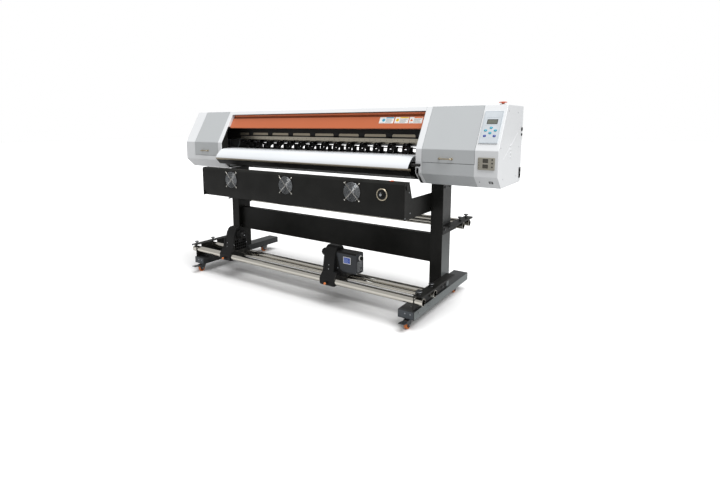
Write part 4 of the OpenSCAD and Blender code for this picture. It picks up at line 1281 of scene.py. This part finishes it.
def build_stand():
    refine("feet", FLOOR_BEAM, large=2.6, large_length=90, small=0.5, pick=lambda e: all(v.co.z > 60 for v in e.verts))
    refine("columns", BLACK, large=2.6, large_length=200, small=0.4)
    refine("cross_beam", BLACK, large=2.6, large_length=500, small=0)
    refine("roll_brackets", BLACK, small=0.9)
    caps, bolts, light, sheen_plates = Shape(), Shape(), Shape(), Shape()
    low, high = span("feet")
    column = span("columns")
    for side in (-1, 1):
        # Thin plates on the outer faces of the feet and legs, to carry a painted sheen.
        for x, y0, y1, z0, z1 in ((high.x, low.y + 2, high.y - 2, low.z + 2, high.z - 2),
                                  (column[1].x, column[0].y + 2, column[1].y - 2, high.z, column[1].z - 1)):
            sheen_plates.box((min(side * x, side * (x + 0.5)), y0, z0), (max(side * x, side * (x + 0.5)), y1, z1))
        middle = side * LEG_X
        for y, out in ((low.y, -1), (high.y, 1)):
            y0, y1 = sorted((y, y - 3 * out))
            caps.box((middle - 47, y0 + 0.2 * out, 67), (middle + 47, y1 + 0.2 * out, 110), 1.2)
            for dx in (-6, 27):
                light.pan_screw(facing(middle + dx, y - 0.1 * out, 94, (0, out, 0)), 4, 1.6)
        outer = side * FOOT_OUT
        for y in (-165, -40):
            light.cap_screw((outer, y, 90), (outer + side * 4, y, 90), 6)
        for y in (-165, -40, 120, 330, 470):
            light.lathe([(0, 0), (3, 0), (3, 0.3), (0, 0.5)], facing(middle, y, 113, (0, 0, 1)), 16)
        for y in CASTER_Y:
            for dx in (-23, 23):
                for dy in (-21, 21):
                    bolts.hexagon((middle + dx, y + dy, 61.2), (middle + dx, y + dy, 57.5), 6, 0.6)
        leg = side * LEG_OUT
        for y in (186, 262):
            bolts.cap_screw((leg, y, 760), (leg + side * 6, y, 760), 6.5)
            bolts.cap_screw((side * 859, y, 300 + (y - 186)), (side * 855, y, 300 + (y - 186)), 5)
        for y, z in ((178, 135), (232, 135), (190, 497), (262, 497)):
            bolts.hexagon((leg + side * 3, y, z), (leg + side * 9, y, z), 7.8, 0.9)
            bolts.lathe([(0, 0), (10, 0), (10, 1), (9.4, 1.4), (0, 1.4)],
                        facing(leg + side * 2.9, y, z, (side, 0, 0)), 28)
        clamps = [(tube[0], 190, 205) for tube in TAKE_UP_TUBES] + [(tube[0], 511, 525) for tube in FEED_TUBES]
        for y, tip, plate in clamps:
            up = Matrix.Translation((side * 962, y, 0))
            bolts.lathe([(0, tip), (3.4, tip), (4, tip + 1), (4, plate + 9), (0, plate + 9)], up, 20)
            bolts.lathe([(4, plate), (8.5, plate), (8.5, plate + 4), (7.6, plate + 5), (4, plate + 5)], up, 6)
            bolts.lathe([(0, plate + 8), (6, plate + 8), (7, plate + 14), (15, plate + 16.5), (16, plate + 18),
                         (16, plate + 20.5), (14.5, plate + 22), (0, plate + 22)], up, 28)
    caps.piece("foot_end_caps", moulded("foot_cap", (0.075, 0.085, 0.095), 0.42), slot="black_powder_coat")
    # Painted sheen on the outer side plates: reflection of the bright floor, lighter low down and black higher up.
    sheen_plates.piece("outer_side_painted_sheen", painted_floor_sheen("painted_floor_sheen", (0.17, 0.19, 0.19), (0.03, 0.03, 0.028)), "machine",
                "black_powder_coat")
    y, z, r = THIN_RAIL
    block = Shape().box((LEG_OUT - 44, y - 20, z - 20), (LEG_OUT, y + 20, z + 22), 1.5)
    block = carve(block, Shape().rod((880, y, z), (LEG_X, y, z), r + 0.2, 0, 40))
    bolts.bm.from_mesh(block.into_mesh("block"))
    bolts.cap_screw((915, y, z + 22), (915, y, z + 27), 5)
    bolts.piece("stand_bolts", DARK_ZINC, "machine", SLOT_OF["stand_fasteners"], "stand_fasteners")
    light.piece("foot_screws", ZINC)
    build_tubes()


def build_tubes():
    tubes, end = Shape(), 988
    for y, z, r in TAKE_UP_TUBES + FEED_TUBES:
        tubes.lathe([(r - 2, 0), (r - 0.6, 0), (r, 0.6), (r, 2 * end - 0.6), (r - 0.6, 2 * end), (r - 2, 2 * end),
                     (r - 2, 0)], facing(-end, y, z, (1, 0, 0)), 64)
    y, z, r = THIN_RAIL
    tubes.rod((-700, y, z), (LEG_X - 1, y, z), r, 0.8, 48)
    tubes.piece("roll_tubes", CHROME, "machine", SLOT_OF["media_tubes"], "media_tubes")


def build_casters():
    front, rear = CASTER_Y
    for name, x, y in (("fl", -LEG_X, front), ("fr", LEG_X, front), ("rl", -LEG_X, rear), ("rr", LEG_X, rear)):
        fork, wheel = "caster_fork_" + name, "caster_wheel_" + name
        refine(fork, DARK_ZINC, small=0.7)
        trim = Shape()
        for s in (-1, 1):
            trim.hexagon((x + s * 15, y - 20, 25), (x + s * 18.6, y - 20, 25), 6.4, 0.7)
        trim.ring(facing(x, y, 55, (0, 0, 1)), 12, 23, 0, 5.4, 1.2, 48)
        trim.piece(fork + "_nuts", ZINC, fork, SLOT_OF[fork])
        axis = facing(x - 10, y - 20, 25, (1, 0, 0))
        tyre = Shape().lathe([(16.8, 0.6), (23, 0.2), (24.6, 1.6), (25, 4), (25, 16), (24.6, 18.4), (23, 19.8),
                              (16.8, 19.4), (16.8, 0.6)], axis, 56)
        tyre.piece(wheel + "_tread", TREAD, wheel, SLOT_OF[wheel], wheel)
        hub = Shape().lathe([(4.1, -1.5), (9.4, -1.5), (10, -0.9), (10, 1.6), (14.6, 2.6), (15.4, 0.6), (16.9, 0.2),
                             (16.9, 19.8), (15.4, 19.4), (14.6, 17.4), (10, 18.4), (10, 20.9), (9.4, 21.5),
                             (4.1, 21.5), (4.1, -1.5)], axis, 48)
        hub.piece(wheel + "_hub", PLASTIC, wheel, SLOT_OF[wheel])
        if name[0] == "f":
            refine("caster_pedal_" + name, DARK_ZINC, small=0.7)


# ---------------------------------------------------------------- take-up


STAND = [(-100, 138), (100, 138), (108, 150), (108, 184), (98, 196), (74, 222), (62, 300), (52, 340), (34, 368),
         (16, 378), (-16, 378), (-34, 368), (-52, 340), (-62, 300), (-74, 222), (-98, 196), (-108, 184), (-108, 150)]
FOOT = [p for p in STAND if p[1] < 230]
POST = [(-74, 200), (74, 200)] + [p for p in STAND if p[1] > 200]


def crossing(outline, axis, value):
    """Where a line at a fixed depth (axis 0) or height (axis 1) enters and leaves an outline."""
    hits = []
    for a, b in zip(outline, outline[1:] + outline[:1]):
        if (a[axis] - value) * (b[axis] - value) < 0:
            t = (value - a[axis]) / (b[axis] - a[axis])
            hits.append(a[1 - axis] + t * (b[1 - axis] - a[1 - axis]))
    return (min(hits), max(hits)) if hits else None


def shrunk(outline, t):
    """An anticlockwise outline moved inwards by t."""
    count = len(outline)
    normals = []
    for k in range(count):
        a, b = Vector(outline[k]), Vector(outline[(k + 1) % count])
        d = (b - a).normalized()
        normals.append(Vector((-d.y, d.x)))
    result = []
    for k in range(count):
        m = normals[k - 1] + normals[k]
        p = Vector(outline[k]) + m * (2 * t / m.length_squared)
        result.append((p.x, p.y))
    return result


def shifted(outline):
    return [(y + ROLL_Y, z) for y, z in outline]


def build_take_up_stand(node, x0, x1, post_x0, post_x1, ribbed):
    """A moulded stand: a broad foot round both tubes and a tapering post with a ribbed face."""
    body = Shape().along(x0, x1, shifted(FOOT), 3, 2)
    body = combine(body, Shape().along(post_x0, post_x1, shifted(POST), 3, 2), "UNION")
    cuts = Shape()
    for (y, z, r), gap in zip((*TAKE_UP_TUBES, THIN_RAIL), (0.25, 0.25, 0.6)):
        cuts.rod((x0 - 5, y, z), (x1 + 5, y, z), r + gap, 0, 48)
    cuts.rod((post_x0 - 5, ROLL_Y, ROLL_Z), (post_x1 + 5, ROLL_Y, ROLL_Z), 10.2, 0, 32)
    inner = shrunk(POST, 7)
    boss, clear = (0, 322), 40
    for x, depth in ribbed:
        a, b = sorted((x, x + depth))
        a, b = (a - 3, b) if depth > 0 else (a, b + 3)
        heights = [206, 226, 246, 266, 286]
        lines = [-56, -37, -18, 1, 20, 39, 58]
        for z0, z1 in zip(heights, heights[1:]):
            for y0, y1 in zip(lines, lines[1:]):
                left = max(crossing(inner, 1, z)[0] for z in (z0 + 2, z1 - 2))
                right = min(crossing(inner, 1, z)[1] for z in (z0 + 2, z1 - 2))
                ya, yb = max(y0 + 2, left), min(y1 - 2, right)
                if yb - ya > 5 and min(math.dist(p, boss) for p in ((ya, z1 - 2), (yb, z1 - 2))) > clear:
                    cuts.prism([(ya, z0 + 2), (yb, z0 + 2), (yb, z1 - 2), (ya, z1 - 2)], b - a,
                               Matrix.Translation((a, ROLL_Y, 0)) @ ALONG)
    carve(body, cuts).piece(node + "_body", PLASTIC, node, SLOT_OF[node], node)
    trim = Shape()
    for x, out in ((x0, -1), (x1, 1)):
        for y, z, r in TAKE_UP_TUBES:
            trim.ring(facing(x - out * 2, y, z, (out, 0, 0)), r + 0.4, 27, 0, 4, 0.8, 48)
    trim.ring(facing(post_x0 + 2, ROLL_Y, ROLL_Z, (-1, 0, 0)), 10.4, 30, 0, 4.5, 1.2, 48)
    trim.along(x0 + 6, x0 + 22, [(y + ROLL_Y, z) for y, z in ((-70, 221), (-60, 296), (-64, 296), (-76, 222))], 0.5)
    trim.piece(node + "_collars", PLASTIC, node, SLOT_OF[node])
    screws = Shape()
    for y, z in ((-60, 252), (60, 252), (-90, 150), (90, 150), (0, 150)):
        screws.pan_screw(facing(x1 - 0.3, ROLL_Y + y, z, (1, 0, 0)), 3.6, 2)
    for z in (236, 262):
        screws.pan_screw(facing(x0 + 45, ROLL_Y - 71 + (z - 236) * 0.14, z, (0, -1, 0)), 3.4, 1.6)
    screws.piece(node + "_screws", ZINC, node, SLOT_OF[node])
    middle = (x0 + x1) / 2
    lock = Shape().rod((middle, -224, 158), (middle, -238, 158), 5, 0.6, 24)
    ahead = facing(middle, -220, 158, (0, -1, 0))
    lock.lathe([(0, 12), (7.4, 12), (9, 13), (9, 17.6), (8, 18.6), (0, 18.6)], ahead, 32)
    lock.piece(node + "_lock", PLASTIC, node, SLOT_OF[node])
    knob = Shape().lathe([(0, 18.4), (6.8, 18.4), (7.2, 19), (7.2, 25.4), (6, 26.8), (0, 27)], ahead, 32)
    knob.piece(node + "_knob", TREAD, node, SLOT_OF[node])


def build_chuck(node, x, out):
    face = facing(x, ROLL_Y, ROLL_Z, (out, 0, 0))
    chuck = Shape().lathe([(0, -60), (9.4, -60), (10, -59.4), (10, 0.6), (36, 0.6), (37, 1.6), (37, 14.8), (35.6, 16.2),
                           (27, 16.2), (25.5, 17.4), (25, 19), (25, 36), (24.4, 37.6), (18.4, 48.2), (17, 49),
                           (9, 49), (8.4, 43), (0, 43)], face, 64)
    for k in range(8):
        turn = face @ Matrix.Rotation(math.pi / 4 * k, 4, "Z")
        chuck.box((24, -1.4, 18), (26.1, 1.4, 34), 0.4, matrix=turn)
        chuck.box((27, -1.6, 15.6), (34, 1.6, 17.4), 0.4, matrix=turn)
    chuck.piece(node + "_body", PLASTIC, node, SLOT_OF[node], node)
    bolt = Shape().hexagon(face @ Vector((0, 0, 42.8)), face @ Vector((0, 0, 47.5)), 6.5, 0.7)
    bolt.piece(node + "_bolt", ZINC, node, SLOT_OF[node])


def build_motor_box():
    node = "takeup_motor_box"
    low, high = span(node)
    x0, x1 = low.x, 520
    y0, y1, z0, z1 = low.y, high.y, low.z, high.z
    outline = rounded_rect(y0, z0, y1, z1, 9, 6)
    box = Shape().along(x0, x1, outline, 2.2, 3)
    box.piece("motor_box_case", moulded("motor_box_case", (0.034, 0.038, 0.044), 0.4), BODY_OF[node], SLOT_OF[node],
              node)
    lid = Shape().along(x0 + 1, x1 - 0.6, [p for p in rounded_rect(y0 - 0.5, z0, y1 + 0.5, z1 + 0.5, 9.4, 6)
                                           if p[1] > z1 - 12], 0.5)
    lid.piece("motor_box_lid", PLASTIC, BODY_OF[node], SLOT_OF[node])
    front = upright(y0)
    border = Shape().prism(rounded_rect(425, 282, 480, 325, 2), 0.3, front)
    border.piece("motor_label_border", LABEL_WHITE, BODY_OF[node],
                 SLOT_OF[node])
    label = Shape().prism(rounded_rect(428.5, 285.5, 476.5, 321.5, 1.5), 0.45, front)
    label.piece("motor_label", moulded("label_blue", (0.035, 0.085, 0.42), 0.35, 300), BODY_OF[node], SLOT_OF[node])
    lines = Shape()
    rng = random.Random(11)
    for row in range(5):
        lines.box((433, 289 + 6.2 * row, 0.4), (452 + 19 * rng.random(), 290.6 + 6.2 * row, 0.6), 0, matrix=front)
    lines.piece("motor_label_print", moulded("label_pale_blue", (0.42, 0.52, 0.80), 0.4, 300), BODY_OF[node],
                SLOT_OF[node])
    end = Matrix.Translation((x1, 0, 0)) @ ALONG
    plate = Shape().prism(rounded_rect(-144, 237, -92, 300, 2), 0.5, end)
    plate.piece("motor_rating_plate", ZINC, BODY_OF[node], SLOT_OF[node])
    lines = Shape()
    for row in range(6):
        lines.box((-140, 243 + 9 * row, 0.45), (-112 + 14 * rng.random(), 244.8 + 9 * row, 0.62), 0, matrix=end)
    lines.box((-108, 243, 0.45), (-96, 262, 0.62), 0, matrix=end)
    lines.piece("motor_rating_print", DARK, BODY_OF[node], SLOT_OF[node])
    screws = Shape()
    for y in (y0 + 7, y1 - 7):
        screws.pan_screw(facing(x1 - 0.1, y, z0 + 8, (1, 0, 0)), 3, 1.2)
    screws.piece("motor_box_screws", ZINC, BODY_OF[node], SLOT_OF[node])
    axis = facing(x1, ROLL_Y + 6, 319, (1, 0, 0))
    boss = Shape().ring(axis, 4.2, 17, 0, 3, 0.5, 48)
    boss.piece("motor_switch_ring", LABEL_WHITE, BODY_OF[node], SLOT_OF[node])
    knob = Shape().lathe([(0, -8), (4, -8), (4, 3.5), (11, 3.5), (11.4, 5), (11, 15), (10, 16), (0, 16)], axis, 40)
    knob.box((-10.5, -3.2, 14), (10.5, 3.2, 21), 1.2, matrix=axis @ Matrix.Rotation(math.pi / 2, 4, "Z"))
    knob.piece("takeup_switch_knob", PLASTIC, "takeup_switch", SLOT_OF["takeup_switch"], "takeup_switch")


def build_take_up():
    low, high = span("takeup_left_stand")
    build_take_up_stand("takeup_left_stand", low.x, high.x, -637, high.x, [(high.x, -14), (-637, 12)])
    low, high = span("takeup_right_stand")
    build_take_up_stand("takeup_right_stand", low.x, 397, low.x, 372, [(low.x, 12)])
    build_chuck("takeup_left_chuck", -549, 1)
    build_chuck("takeup_right_chuck", 287, -1)
    build_motor_box()
    shelf = Shape().box((396, ROLL_Y - 42, 197), (452, ROLL_Y + 42, 222), 2)
    shelf.along(372, 440, [(ROLL_Y - 45, 199), (ROLL_Y - 42, 199), (ROLL_Y - 42, 221.8), (ROLL_Y - 45, 221.8)], 0.4)
    shelf.prism([(372, 222), (438, 222), (402, 240), (380, 318), (372, 330)], 3, upright(ROLL_Y - 42), 0.5)
    shelf.piece("motor_shelf", PLASTIC, "takeup_right_stand", SLOT_OF["takeup_right_stand"])


add_camera()
add_studio()
build_housings()
build_ports()
build_doors()
build_top()
build_control_panel()
build_temperature_controller()
build_emergency_stop()
build_hood()
build_beam()
build_carriage()
build_media_path()
build_dryer()
build_stand()
build_casters()
build_take_up()
